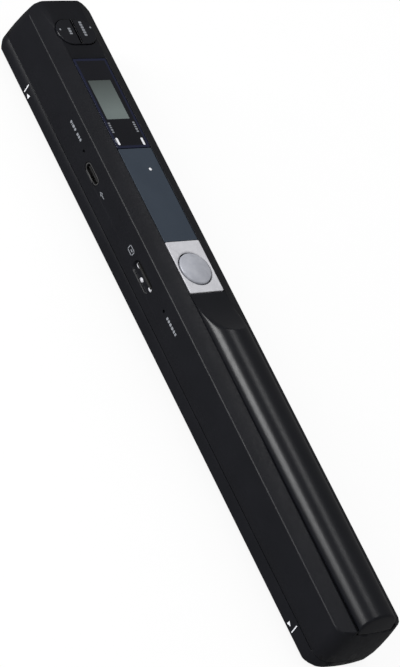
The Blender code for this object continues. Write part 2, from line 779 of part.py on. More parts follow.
def key_hole_outline(margin):
    """Rounded oval across the deck that both keys share, grown by margin."""
    half = KEY_HALF_LENGTH + margin
    reach = KEY_REACH + margin
    radius = half * KEY_ROUND_SHARE
    return rounded_rectangle(KEYS_X - half, KEYS_X + half, -reach, reach, radius, CORNER_STEPS * 2)


def stadium(centre_u, centre_v, half_length, half_height, steps=CORNER_STEPS * 2):
    """Outline with two straight sides and two round ends."""
    inner = half_length - half_height
    points = arc((centre_u + inner, centre_v), half_height, -math.pi / 2, math.pi / 2, steps)
    return points + arc((centre_u - inner, centre_v), half_height, math.pi / 2, 3 * math.pi / 2, steps)


def hook_slots():
    """Slots that the cover's hooks reach through, long enough for the cover to slide and lift."""
    slots = []
    for x, y, end in (
        (FRONT_HOOK_X, FRONT_HOOK_Y, FRONT_HOOK_X + HOOK_LEG + COVER_TRAVEL + GAP),
        (TAIL_HOOK_X, TAIL_HOOK_Y, BAY_END_X),
    ):
        for side in (-1, 1):
            low = (x - GAP, side * y - HOOK_WIDTH / 2 - GAP, SHELF_BOTTOM_Z - OVERRUN)
            high = (end, side * y + HOOK_WIDTH / 2 + GAP, SHELF_TOP_Z + OVERRUN)
            slots.append(block(low, high))
    return slots


def bay_additions():
    """Battery trough, the shelf ahead of it and the ledges at its tail, joined into the case walls."""
    outer = BAY_HALF + BAY_WALL
    rail = OPENING_HALF + RAIL_WALL
    rail_z = SHELF_BOTTOM_Z
    trough_half = (
        (outer, BAY_FLOOR_Z - BAY_WALL),
        (outer, rail_z),
        (rail, rail_z + rail - outer),
        (rail, TOP_Z),
    )
    shelf_half = ((rail, SHELF_BOTTOM_Z), (rail, TOP_Z))
    trough = prism([mirrored(trough_half)], BAY_FRONT_X, HALF_LENGTH)
    shelf = prism([mirrored(shelf_half)], PLATE_END_X - SHELF_OVERLAP, BAY_FRONT_X + BAY_WALL / 2)
    for piece in (trough, shelf):
        keep_inside(piece, [case_form(upper_section(WALL / 2, 0), WALL / 2)])
    return [trough, shelf]


def bay_cuts():
    """Room for the cells, and the opening that the cover closes."""
    room_outline = rectangle(-BAY_HALF, BAY_HALF, BAY_FLOOR_Z, SHELF_TOP_Z + OVERRUN)
    room = prism([room_outline], BAY_START_X, BAY_END_X)
    opening_outline = rectangle(-OPENING_HALF, OPENING_HALF, SHELF_TOP_Z, TOP_Z + OVERRUN)
    opening = prism([opening_outline], PLATE_END_X, HALF_LENGTH + OVERRUN)
    return [room, opening]


def tail_ledges():
    """Small ledges at the tail end of the battery bay that hold the cover's tail hooks down."""
    ledges = []
    for side in (-1, 1):
        inner = side * (TAIL_HOOK_Y - HOOK_WIDTH / 2 - GAP - TAIL_LEDGE_WALL)
        outer = side * (BAY_HALF + BAY_WALL / 2)
        low = (TAIL_LEDGE_START_X, min(inner, outer), SHELF_BOTTOM_Z)
        high = (HALF_LENGTH - END_WALL / 2, max(inner, outer), SHELF_TOP_Z)
        ledges.append(block(low, high))
    return ledges


def housing_screw_places():
    """Places of the screws that hold the two halves of the case together."""
    return [(x, y) for x in SCREW_XS for y in (-SCREW_Y, SCREW_Y)]


def key_post_places():
    """Places of the posts that carry the key board."""
    return [(x, y) for x in KEY_POST_XS for y in (-KEY_POST_Y, KEY_POST_Y)]


def upper_posts():
    """Screw posts that hang from the deck, with their pilot holes as a second list."""
    posts = []
    holes = []
    case_post_low = SEAM_Z + LIP_HEIGHT + GAP
    board_places = [(x, BOARD_POST_Y) for x in BOARD_POST_XS]
    for places, low, high, radius, hole in (
        (housing_screw_places(), case_post_low, SHOULDER_Z, BOSS_RADIUS, SCREW_SHANK_RADIUS),
        (board_places, BOARD_TOP_Z + GAP, SHOULDER_Z, BOARD_POST_RADIUS, POST_HOLE_RADIUS),
        (key_post_places(), KEY_BOARD_TOP_Z + GAP, DECK_UNDERSIDE_Z + GAP, POST_RADIUS, POST_HOLE_RADIUS),
    ):
        hole_radius = hole + RUNNING_GAP
        hole_top = low + (high - low) * POST_HOLE_DEPTH_SHARE
        for x, y in places:
            posts.append(cylinder(ALONG_Z, (x, y, (low + high) / 2), radius, high - low))
            hole_length = hole_top - low + OVERRUN
            holes.append(cylinder(ALONG_Z, (x, y, hole_top - hole_length / 2), hole_radius, hole_length))
    return posts, holes


def deck_cuts():
    """Panel recess, display aperture, light hole, button hole and key hole."""
    recess_half = PANEL_HALF + GAP
    recess_outline = rounded_rectangle(
        WINDOW_START_X - GAP, PLATE_END_X + OVERRUN, -recess_half, recess_half, PANEL_CORNER_RADIUS + GAP
    )
    low = DECK_UNDERSIDE_Z - OVERRUN
    high = DECK_Z + OVERRUN
    aperture = rectangle(
        LCD_START_X - GAP,
        LCD_END_X + GAP,
        LCD_CENTRE_Y - LCD_HALF - GAP,
        LCD_CENTRE_Y + LCD_HALF + GAP,
    )
    return [
        slab([recess_outline], RECESS_FLOOR_Z, high),
        slab([aperture], low, high),
        cylinder(ALONG_Z, (LIGHT_X, LIGHT_Y, DECK_Z), LIGHT_RADIUS + GAP, 2 * WALL + OVERRUN),
        cylinder(ALONG_Z, (BUTTON_X, 0, DECK_Z), BUTTON_RADIUS + GAP, 2 * WALL + OVERRUN, ROUND_SIDES * 2),
        slab([key_hole_outline(GAP)], low, high),
    ]


def side_cuts():
    """USB mouth, finger notch, card slot and the two pin holes in the -Y wall."""
    outside = -HALF_WIDTH - OVERRUN
    inside = -INNER_HALF_WIDTH + OVERRUN / 2
    slot_half = CARD_WIDTH / 2 + GAP
    slot_rise = CARD_THICKNESS / 2 + GAP
    notch = rounded_rectangle(
        CARD_X - NOTCH_WIDTH / 2,
        CARD_X + NOTCH_WIDTH / 2,
        NOTCH_CENTRE_Z - NOTCH_HEIGHT / 2,
        NOTCH_CENTRE_Z + NOTCH_HEIGHT / 2,
        NOTCH_RADIUS,
    )
    slot = rectangle(CARD_X - slot_half, CARD_X + slot_half, CARD_Z - slot_rise, CARD_Z + slot_rise)
    mouth = stadium(USB_X, USB_Z, USB_WIDTH / 2 + GAP, USB_HEIGHT / 2 + GAP)
    cuts = [
        through_side([mouth], outside, inside),
        through_side([notch], outside, -HALF_WIDTH + NOTCH_DEPTH),
        through_side([slot], outside, inside),
    ]
    for x in (TIME_X, FORMAT_X):
        cuts.append(cylinder(ALONG_Y, (x, -HALF_WIDTH, PIN_Z), PIN_HOLE_RADIUS, 2 * WALL + OVERRUN))
    return cuts


def make_upper_shell():
    """Top half of the case with the battery trough moulded in."""
    shell = case_form(upper_section(0, UPPER_BOTTOM_Z), 0)
    cut(shell, [case_form(upper_section(WALL, UPPER_BOTTOM_Z - OVERRUN), WALL)])
    posts, holes = upper_posts()
    additions = bay_additions()
    add(shell, additions + posts)
    cut(shell, bay_cuts())
    add(shell, tail_ledges())
    cut(shell, hook_slots() + deck_cuts() + side_cuts() + holes)
    as_part(shell, "upper_shell", "black_case")


def lower_posts():
    """Posts for the case screws, wide at the counterbore and narrow above it."""
    top = SEAM_Z + LIP_HEIGHT
    counterbore = SCREW_HEAD_RADIUS + GAP
    head_top = BODY_BOTTOM_Z + SCREW_SINK + SCREW_HEAD_HEIGHT + GAP
    base_top = head_top + POST_WALL
    low = BODY_BOTTOM_Z + WALL / 2
    posts = []
    holes = []
    for x, y in housing_screw_places():
        wide = counterbore + POST_WALL
        posts.append(cylinder(ALONG_Z, (x, y, (low + base_top) / 2), wide, base_top - low))
        posts.append(cylinder(ALONG_Z, (x, y, (low + top) / 2), BOSS_RADIUS, top - low))
        bore_length = head_top - BODY_BOTTOM_Z + OVERRUN
        holes.append(cylinder(ALONG_Z, (x, y, head_top - bore_length / 2), counterbore, bore_length))
        holes.append(cylinder(ALONG_Z, (x, y, SEAM_Z), SCREW_SHANK_RADIUS + GAP, SEAM_HEIGHT * 2))
    return posts, holes


def lip_ring():
    """Lip round the lower shell that the upper shell closes over."""
    foot_low = LOWER_TOP_Z - LIP_HEIGHT - LIP_THICKNESS
    lip = slab([case_plan(WALL / 2)], foot_low, LOWER_TOP_Z - GAP)
    add(lip, [slab([case_plan(WALL + GAP)], LOWER_TOP_Z - LIP_HEIGHT, SEAM_Z + LIP_HEIGHT)])
    return cut(lip, [slab([case_plan(WALL + GAP + LIP_THICKNESS)], FLOOR_Z, DECK_Z)])


def shaft_saddles():
    """Ribs that hold the bushes, with their round seats as a second list."""
    ribs = []
    seats = []
    for x in BUSH_XS + STEADY_XS:
        low = (x - SADDLE_THICKNESS / 2, SHAFT_Y - SADDLE_HALF, FLOOR_Z - WALL / 2)
        high = (x + SADDLE_THICKNESS / 2, SHAFT_Y + SADDLE_HALF, SHAFT_Z + BUSH_RADIUS / 2)
        ribs.append(block(low, high))
        seat_radius = RUNNING_GAP * 2 + (BUSH_RADIUS if x in BUSH_XS else SHAFT_RADIUS)
        seat = block(
            (x - BUSH_LENGTH / 2 - GAP, SHAFT_Y - seat_radius, SHAFT_Z),
            (x + BUSH_LENGTH / 2 + GAP, SHAFT_Y + seat_radius, SHAFT_Z + BUSH_RADIUS * 2),
        )
        seats.append(cylinder(ALONG_X, (x, SHAFT_Y, SHAFT_Z), seat_radius, BUSH_LENGTH + GAP * 2))
        seats.append(seat)
    return ribs, seats


def encoder_rib():
    """Rib at the head that the encoder's pin is fixed in."""
    x = PIN_HEAD_X + PIN_RIB_THICKNESS / 2 - GAP
    low = (x - PIN_RIB_THICKNESS / 2, ENCODER_Y - PIN_RIB_HALF, FLOOR_Z - WALL / 2)
    high = (x + PIN_RIB_THICKNESS / 2, ENCODER_Y + PIN_RIB_HALF, ENCODER_Z + PIN_RIB_HALF)
    place = (x, ENCODER_Y, ENCODER_Z)
    return block(low, high), cylinder(ALONG_X, place, PIN_RADIUS + RUNNING_GAP, PIN_RIB_THICKNESS * 2)


def gusset_outline(side, edge, top):
    """Rib across the floor from the side wall to the works, stepped in to clear the upper shell's wall."""
    wall_y = side * (INNER_HALF_WIDTH + WALL / 2)
    lip_y = side * (INNER_HALF_WIDTH - GAP - LIP_THICKNESS / 2)
    low = FLOOR_Z - WALL / 2
    step = LOWER_TOP_Z - LIP_HEIGHT / 2
    if top < step:
        return [(edge, low), (edge, top), (wall_y, top), (wall_y, low)]
    return [(edge, low), (edge, top), (lip_y, top), (lip_y, step), (wall_y, step), (wall_y, low)]


def gussets():
    """Stiffening ribs along both side walls; those on the -Y side carry the main board."""
    ribs = []
    count = int((STEADY_XS[1] - STEADY_XS[0]) / GUSSET_PITCH)
    sensor_edge = SENSOR_CENTRE_Y - SENSOR_HALF - GAP
    shaft_edge = SHAFT_Y + SHAFT_RADIUS + GAP + BUSH_RADIUS / 2
    low_top = FLOOR_Z + GUSSET_HEIGHT / 2
    for index in range(count):
        x = (index - (count - 1) / 2) * GUSSET_PITCH
        board_top = BOARD_BOTTOM_Z - GAP if BOARD_START_X < x < BOARD_END_X else low_top
        for outline in (gusset_outline(-1, sensor_edge, board_top), gusset_outline(1, shaft_edge, low_top)):
            ribs.append(prism([outline], x - GUSSET_THICKNESS / 2, x + GUSSET_THICKNESS / 2))
    return ribs


def underside_cuts():
    """Glass opening, roller slots, pinion pocket and the recesses of the glide feet."""
    glass_half = GLASS_HALF + GAP
    low = BODY_BOTTOM_Z - OVERRUN
    high = FLOOR_Z + OVERRUN / 2
    glass = rectangle(
        GLASS_START_X - GAP,
        GLASS_END_X + GAP,
        SENSOR_CENTRE_Y - glass_half,
        SENSOR_CENTRE_Y + glass_half,
    )
    cuts = [slab([glass], low, high)]
    for x in (HEAD_ROLLER_X, TAIL_ROLLER_X):
        place = (x, SHAFT_Y, SHAFT_Z)
        cuts.append(cylinder(ALONG_X, place, ROLLER_RADIUS + GAP, ROLLER_LENGTH + GAP * 2, ROUND_SIDES * 2))
    pocket_radius = PINION_PITCH_RADIUS + GEAR_MODULE + GAP
    cuts.append(cylinder(ALONG_X, (PINION_X, SHAFT_Y, SHAFT_Z), pocket_radius, PINION_LENGTH + GAP * 2))
    for x in (HEAD_FOOT_X, TAIL_FOOT_X):
        recess = stadium(x, FOOT_Y, FOOT_LENGTH / 2 + GAP, FOOT_HALF + GAP)
        cuts.append(slab([recess], low, BODY_BOTTOM_Z + FOOT_SEAT))
    return cuts


def make_lower_shell():
    """Bottom half of the case with the ribs and saddles that carry the works.

    The exact solver leaves open edges where the lip meets the curved wall, so this piece uses the other one.
    """
    shell = case_form(lower_section(0, LOWER_TOP_Z), 0)
    cut(shell, [case_form(lower_section(WALL, SEAM_Z + OVERRUN), WALL)])
    posts, holes = lower_posts()
    saddles, seats = shaft_saddles()
    rib, pin_hole = encoder_rib()
    add(shell, [lip_ring(), rib] + posts + saddles + gussets(), "MANIFOLD")
    cut(shell, holes + seats + [pin_hole] + underside_cuts(), "MANIFOLD")
    as_part(shell, "lower_shell", "black_case")


def cover_hooks():
    """Four hooks under the cover: a leg down and a toe towards the head."""
    pieces = []
    for x, y, top in ((FRONT_HOOK_X, FRONT_HOOK_Y, DECK_Z - GAP), (TAIL_HOOK_X, TAIL_HOOK_Y, DECK_Z + WALL)):
        for side in (-1, 1):
            low_y = side * y - HOOK_WIDTH / 2
            high_y = side * y + HOOK_WIDTH / 2
            pieces.append(block((x, low_y, HOOK_TOP_Z - HOOK_THICKNESS), (x + HOOK_LEG, high_y, top)))
            toe_low = (x - HOOK_TOE, low_y, HOOK_TOP_Z - HOOK_THICKNESS)
            pieces.append(block(toe_low, (x + HOOK_LEG / 2, high_y, HOOK_TOP_Z)))
    return pieces


def cover_ribs():
    """Cross ribs under the hump that keep the cells down."""
    section = hump_arch(HUMP_WALL / 2, CELL_TOP_Z + GAP * 2)
    ribs = []
    for index in range(COVER_RIBS):
        x = FRONT_CELL_X + (index + 1 / 2) * (REAR_CELL_END_X - FRONT_CELL_X) / COVER_RIBS
        ribs.append(prism([section], x - COVER_RIB_THICKNESS / 2, x + COVER_RIB_THICKNESS / 2))
    return ribs


def make_battery_cover():
    """Hump that closes the battery bay, with the thumb ramp that slides it towards the tail."""
    outer_half = [(COVER_HALF, SKIRT_BOTTOM_Z)] + hump_arch(0, DECK_Z)[: HUMP_STEPS // 2]
    outline = mirrored(outer_half + [(0, TOP_Z)])
    outline.remove((0, TOP_Z))
    cover = prism([outline], COVER_FRONT_X, HALF_LENGTH + OVERRUN)
    keep_inside(cover, [case_block(0)])
    keep_inside(cover, [through_side([ramp_outline(0)], -HALF_WIDTH, HALF_WIDTH)])
    skirt = COVER_HALF - SKIRT_WALL
    inner_half = [(skirt, SKIRT_BOTTOM_Z - OVERRUN), (skirt, DECK_Z - GAP)]
    inner_half += hump_arch(HUMP_WALL, DECK_Z)[: HUMP_STEPS // 2]
    hollow_outline = mirrored(inner_half + [(0, TOP_Z - HUMP_WALL)])
    hollow_outline.remove((0, TOP_Z - HUMP_WALL))
    hollow = prism([hollow_outline], COVER_FRONT_X + HUMP_WALL, BAY_END_X)
    keep_inside(hollow, [through_side([ramp_outline(HUMP_WALL)], -HALF_WIDTH, HALF_WIDTH)])
    cut(cover, [hollow])
    add(cover, cover_hooks() + cover_ribs())
    as_part(cover, "battery_cover", "black_cover")


def panel(start, end, top, holes):
    """Thin panel let into the deck."""
    outline = rounded_rectangle(start, end, -PANEL_HALF, PANEL_HALF, PANEL_CORNER_RADIUS)
    return slab([outline] + holes, PANEL_BOTTOM_Z, top)


def make_deck_panels():
    """Display window, label and trim plate, edge to edge down the deck."""
    as_part(panel(WINDOW_START_X, WINDOW_END_X, DECK_Z, []), "display_window", "dark_window")
    light_hole = circle((LIGHT_X, LIGHT_Y), LIGHT_RADIUS + RUNNING_GAP * 2, SMALL_SIDES)
    as_part(panel(LABEL_START_X, LABEL_END_X, DECK_Z, [light_hole]), "label_panel", "slate_label")
    button_hole = circle((BUTTON_X, 0), BUTTON_RADIUS + GAP, ROUND_SIDES * 2)
    plate = panel(PLATE_START_X, PLATE_END_X, DECK_Z + PLATE_PROUD, [button_hole])
    as_part(plate, "trim_plate", "satin_silver")


def make_scan_button():
    """Domed button with the flange that keeps it under the deck, and its switch."""
    edge_z = DECK_Z + PLATE_PROUD + BUTTON_PROUD
    flange_top = DECK_UNDERSIDE_Z - GAP
    flange_bottom = flange_top - BUTTON_FLANGE_THICKNESS
    switch_top = KEY_BOARD_TOP_Z + GAP + SWITCH_HEIGHT + SWITCH_PLUNGER_HEIGHT
    stem_bottom = switch_top + BUTTON_TRAVEL + SWITCH_SLACK
    inner = BUTTON_RADIUS - BUTTON_EDGE_RADIUS
    profile = [(0, edge_z + BUTTON_DOME)]
    profile += [
        (inner * share, edge_z + BUTTON_DOME * (1 - share**2)) for share in DOME_SHARES
    ]
    profile += [
        (BUTTON_RADIUS, edge_z - BUTTON_EDGE_RADIUS),
        (BUTTON_RADIUS, flange_top),
        (BUTTON_RADIUS + BUTTON_FLANGE, flange_top),
        (BUTTON_RADIUS + BUTTON_FLANGE, flange_bottom),
        (BUTTON_STEM_RADIUS, flange_bottom),
        (BUTTON_STEM_RADIUS, stem_bottom),
        (0, stem_bottom),
    ]
    button = turned(ALONG_Z, (BUTTON_X, 0, 0), profile, sides=ROUND_SIDES * 2)
    as_part(button, "scan_button", "silver_plastic")
    as_part(tact_switch(BUTTON_X, 0, SWITCH_SIDE), "scan_switch", "black_resin")


def tact_switch(x, y, side):
    """Square push switch on the key board with its round plunger."""
    low = KEY_BOARD_TOP_Z + GAP
    top = low + SWITCH_HEIGHT
    body = block((x - side / 2, y - side / 2, low), (x + side / 2, y + side / 2, top))
    length = SWITCH_PLUNGER_HEIGHT + SWITCH_HEIGHT / 2
    plunger_z = top + SWITCH_PLUNGER_HEIGHT - length / 2
    radius = SWITCH_PLUNGER_RADIUS * side / SWITCH_SIDE
    return add(body, [cylinder(ALONG_Z, (x, y, plunger_z), radius, length)])


def make_keys():
    """Two keys that share the oval hole at the head, and their switches."""
    top = DECK_Z + KEY_PROUD
    flange_top = DECK_UNDERSIDE_Z - GAP
    flange_bottom = flange_top - KEY_FLANGE_THICKNESS
    switch_top = KEY_BOARD_TOP_Z + GAP + SWITCH_HEIGHT + SWITCH_PLUNGER_HEIGHT
    stem_bottom = switch_top + KEY_TRAVEL + SWITCH_SLACK
    flange_half = KEY_HALF_LENGTH + KEY_FLANGE
    reach = KEY_REACH + OVERRUN
    for side, name in ((-1, "left_key"), (1, "right_key")):
        edge = side * KEY_GROOVE / 2
        keep = sorted((edge, side * reach))
        key = slab([key_hole_outline(0)], flange_bottom + GAP, top)
        wide = KEY_HALF_LENGTH + OVERRUN
        keep_inside(key, [block((KEYS_X - wide, keep[0], 0), (KEYS_X + wide, keep[1], TOP_Z))])
        ends = sorted((edge, side * KEY_FLANGE_REACH))
        flange_low = (KEYS_X - flange_half, ends[0], flange_bottom)
        flange = block(flange_low, (KEYS_X + flange_half, ends[1], flange_top))
        stem_top = flange_bottom + KEY_FLANGE_THICKNESS / 2
        stem_place = (KEYS_X, side * KEY_STEM_Y, (stem_bottom + stem_top) / 2)
        stem = cylinder(ALONG_Z, stem_place, KEY_STEM_RADIUS, stem_top - stem_bottom)
        as_part(add(key, [flange, stem]), name, "black_cover")
        switch = tact_switch(KEYS_X, side * KEY_STEM_Y, KEY_SWITCH_SIDE)
        as_part(switch, name + "_switch", "black_resin")


def make_display():
    """Display glass in the deck's aperture and the display module behind it."""
    start = LCD_START_X
    end = LCD_END_X
    glass_low = DECK_UNDERSIDE_Z
    low_y = LCD_CENTRE_Y - LCD_HALF
    high_y = LCD_CENTRE_Y + LCD_HALF
    glass = block((start, low_y, glass_low), (end, high_y, glass_low + LCD_THICKNESS))
    as_part(glass, "lcd_panel", "grey_display")
    margin = LCD_BODY_MARGIN
    low = (start - margin, low_y - margin, KEY_BOARD_TOP_Z + GAP)
    high = (end + margin, high_y + margin, DECK_UNDERSIDE_Z - GAP)
    as_part(block(low, high), "lcd_module", "white_plastic")


def make_status_light():
    """Light pipe through the deck and label, and the diode under it."""
    led_low = KEY_BOARD_TOP_Z + GAP
    led_half = LED_SIDE / 2
    low = (LIGHT_X - led_half, LIGHT_Y - led_half, led_low)
    high = (LIGHT_X + led_half, LIGHT_Y + led_half, led_low + LED_HEIGHT)
    as_part(block(low, high), "status_led", "white_plastic")
    flange_top = DECK_UNDERSIDE_Z - GAP
    flange_bottom = flange_top - LIGHT_FLANGE_THICKNESS
    pipe_bottom = led_low + LED_HEIGHT + GAP
    profile = [
        (0, DECK_Z),
        (LIGHT_RADIUS, DECK_Z),
        (LIGHT_RADIUS, flange_top),
        (LIGHT_FLANGE_RADIUS, flange_top),
        (LIGHT_FLANGE_RADIUS, flange_bottom),
        (LIGHT_RADIUS, flange_bottom),
        (LIGHT_RADIUS, pipe_bottom),
        (0, pipe_bottom),
    ]
    pipe = turned(ALONG_Z, (LIGHT_X, LIGHT_Y, 0), profile, sides=SMALL_SIDES)
    as_part(pipe, "light_pipe", "clear_plastic")


def make_boards():
    """Key board under the deck and main board beside the sockets, with the header that joins them."""
    key_outline = rounded_rectangle(
        KEY_BOARD_START_X, KEY_BOARD_END_X, -KEY_BOARD_HALF, KEY_BOARD_HALF, BOARD_CORNER_RADIUS
    )
    screw_radius = POST_HOLE_RADIUS + RUNNING_GAP
    key_holes = [circle(place, screw_radius, SMALL_SIDES) for place in key_post_places()]
    key_board = slab([key_outline] + key_holes, KEY_BOARD_TOP_Z - KEY_BOARD_THICKNESS, KEY_BOARD_TOP_Z)
    as_part(key_board, "key_board", "green_board")
    radius = BOARD_CORNER_RADIUS
    outline = rounded(
        (
            (BOARD_START_X, -BOARD_HALF, radius),
            (BOARD_END_X, -BOARD_HALF, radius),
            (BOARD_END_X, BOARD_HALF, radius),
            (BOARD_NOTCH_X, BOARD_HALF, radius),
            (BOARD_NOTCH_X, BOARD_NOTCH_Y, 0),
            (BOARD_START_X, BOARD_NOTCH_Y, radius),
        )
    )
    holes = [circle((x, BOARD_POST_Y), screw_radius, SMALL_SIDES) for x in BOARD_POST_XS]
    as_part(slab([outline] + holes, BOARD_BOTTOM_Z, BOARD_TOP_Z), "main_board", "green_board")
    header_low = (HEADER_X - HEADER_LENGTH / 2, HEADER_Y - HEADER_WIDTH / 2, BOARD_TOP_Z + GAP)
    header_top = KEY_BOARD_TOP_Z - KEY_BOARD_THICKNESS - GAP
    header_high = (HEADER_X + HEADER_LENGTH / 2, HEADER_Y + HEADER_WIDTH / 2, header_top)
    as_part(block(header_low, header_high), "board_header", "black_resin")
    board_length = BOARD_END_X - BOARD_START_X
    for name, (x_share, y_share, length_share, width_share) in CHIP_SHARES.items():
        x = BOARD_START_X + board_length * x_share
        y = -BOARD_HALF + 2 * BOARD_HALF * y_share
        half_x = board_length * length_share / 2
        half_y = BOARD_HALF * width_share / 2
        low_z = BOARD_TOP_Z + GAP
        chip = block((x - half_x, y - half_y, low_z), (x + half_x, y + half_y, low_z + CHIP_HEIGHT))
        as_part(chip, name, "black_resin")


def make_usb_socket():
    """Metal shell of the USB socket and the tongue inside it."""
    mouth_y = -HALF_WIDTH + USB_SET_BACK
    back_y = mouth_y + USB_DEPTH
    outer = stadium(USB_X, USB_Z, USB_WIDTH / 2, USB_HEIGHT / 2)
    inner = stadium(USB_X, USB_Z, USB_WIDTH / 2 - USB_SHEET, USB_HEIGHT / 2 - USB_SHEET)
    as_part(through_side([outer, inner], mouth_y, back_y), "usb_socket", "tin_plate")
    base_half = USB_WIDTH / 2 - USB_SHEET - RUNNING_GAP
    base = stadium(USB_X, USB_Z, base_half, USB_HEIGHT / 2 - USB_SHEET - RUNNING_GAP)
    tongue_half = USB_TONGUE_WIDTH / 2
    thickness_half = USB_TONGUE_THICKNESS / 2
    tongue = block(
        (USB_X - tongue_half, mouth_y + USB_SHEET * 2, USB_Z - thickness_half),
        (USB_X + tongue_half, back_y - USB_BASE_DEPTH / 2, USB_Z + thickness_half),
    )
    carrier = through_side([base], back_y - USB_BASE_DEPTH, back_y)
    as_part(add(carrier, [tongue]), "usb_tongue", "black_resin")


def make_card_socket():
    """Card cage open towards the notch, and the card that slides out of it."""
    cage_half = CARD_WIDTH / 2 + GAP + CARD_SIDE_RAIL
    front_y = -INNER_HALF_WIDTH + GAP
    card_front_y = -HALF_WIDTH + NOTCH_DEPTH - CARD_PROUD
    card_back_y = card_front_y + CARD_LENGTH
    slot_rise = CARD_THICKNESS / 2 + GAP
    low = (CARD_X - cage_half, front_y, BOARD_TOP_Z + GAP)
    high = (CARD_X + cage_half, card_back_y + GAP + CARD_SHEET, CARD_Z + slot_rise + CARD_SHEET)
    room = block(
        (CARD_X - CARD_WIDTH / 2 - GAP, front_y - OVERRUN, CARD_Z - slot_rise),
        (CARD_X + CARD_WIDTH / 2 + GAP, card_back_y + GAP, CARD_Z + slot_rise),
    )
    as_part(cut(block(low, high), [room]), "card_socket", "tin_plate")
    outline = rounded_rectangle(
        CARD_X - CARD_WIDTH / 2, CARD_X + CARD_WIDTH / 2, card_front_y, card_back_y, CARD_CORNER_RADIUS
    )
    card = slab([outline], CARD_Z - CARD_THICKNESS / 2, CARD_Z + CARD_THICKNESS / 2)
    as_part(card, "memory_card", "black_resin")


def make_pin_switches():
    """Side switches behind the two pin holes, each with a plunger that a pin pushes in."""
    front_y = -INNER_HALF_WIDTH + GAP + PLUNGER_PROUD
    for x, name in ((TIME_X, "time"), (FORMAT_X, "format")):
        half = PIN_SWITCH_WIDTH / 2
        low = (x - half, front_y, BOARD_TOP_Z + GAP)
        body = block(low, (x + half, front_y + PIN_SWITCH_DEPTH, PIN_Z + PIN_SWITCH_RISE))
        plunger_y = front_y - PLUNGER_PROUD + PLUNGER_LENGTH / 2
        bore_end = plunger_y + PLUNGER_LENGTH / 2 + PLUNGER_TRAVEL + PLUNGER_SLACK
        bore_start = front_y - OVERRUN
        bore_place = (x, (bore_start + bore_end) / 2, PIN_Z)
        bore = cylinder(ALONG_Y, bore_place, PLUNGER_RADIUS + RUNNING_GAP, bore_end - bore_start)
        as_part(cut(body, [bore]), name + "_switch", "black_resin")
        plunger = cylinder(ALONG_Y, (x, plunger_y, PIN_Z), PLUNGER_RADIUS, PLUNGER_LENGTH)
        as_part(plunger, name + "_plunger", "white_plastic")


def cell_profile():
    """Half outline of a cell, its nub up."""
    shoulder = CELL_LENGTH - NUB_HEIGHT
    profile = [(0, CELL_LENGTH), (NUB_RADIUS, CELL_LENGTH), (NUB_RADIUS, shoulder)]
    profile += [(CELL_RADIUS - CELL_EDGE_RADIUS, shoulder), (CELL_RADIUS, shoulder - CELL_EDGE_RADIUS)]
    return profile + [(CELL_RADIUS, CELL_EDGE_RADIUS), (CELL_RADIUS - CELL_EDGE_RADIUS, 0), (0, 0)]


def make_cells():
    """Two cells end to end, their contacts and the spring that presses them together."""
    for x, name in ((FRONT_CELL_X, "front_cell"), (REAR_CELL_X, "rear_cell")):
        as_part(turned(ALONG_X, (x, 0, CELL_AXIS_Z), cell_profile()), name, "cell_jacket")
    outline_low = BAY_FLOOR_Z + GAP
    outline = rounded_rectangle(
        -CONTACT_HALF, CONTACT_HALF, outline_low, outline_low + CONTACT_HEIGHT, CONTACT_THICKNESS
    )
    for x, name in ((FRONT_CONTACT_X, "front_contact"), (SPRING_PLATE_X, "spring_plate")):
        as_part(prism([outline], x, x + CONTACT_THICKNESS), name, "tin_plate")
    as_part(make_spring(), "battery_spring", "steel")


def make_spring():
    """Coil between the rear cell and its plate, drawn as one wire."""
    start = REAR_CELL_END_X + GAP + SPRING_WIRE_RADIUS
    end = SPRING_PLATE_X - GAP - SPRING_WIRE_RADIUS
    count = SPRING_TURNS * SPRING_TURN_POINTS
    curve = bpy.data.curves.new("coil", "CURVE")
    curve.dimensions = "3D"
    curve.bevel_depth = SPRING_WIRE_RADIUS
    curve.bevel_resolution = 1
    curve.use_fill_caps = True
    spline = curve.splines.new("POLY")
    spline.points.add(count)
    for index, point in enumerate(spline.points):
        turn = math.tau * index / SPRING_TURN_POINTS
        along = start + (end - start) * index / count
        point.co = (along, SPRING_RADIUS * math.cos(turn), SPRING_RADIUS * math.sin(turn), 1)
    return mesh_of_curve(new_object("coil", curve, Matrix.Translation((0, 0, CELL_AXIS_Z))))


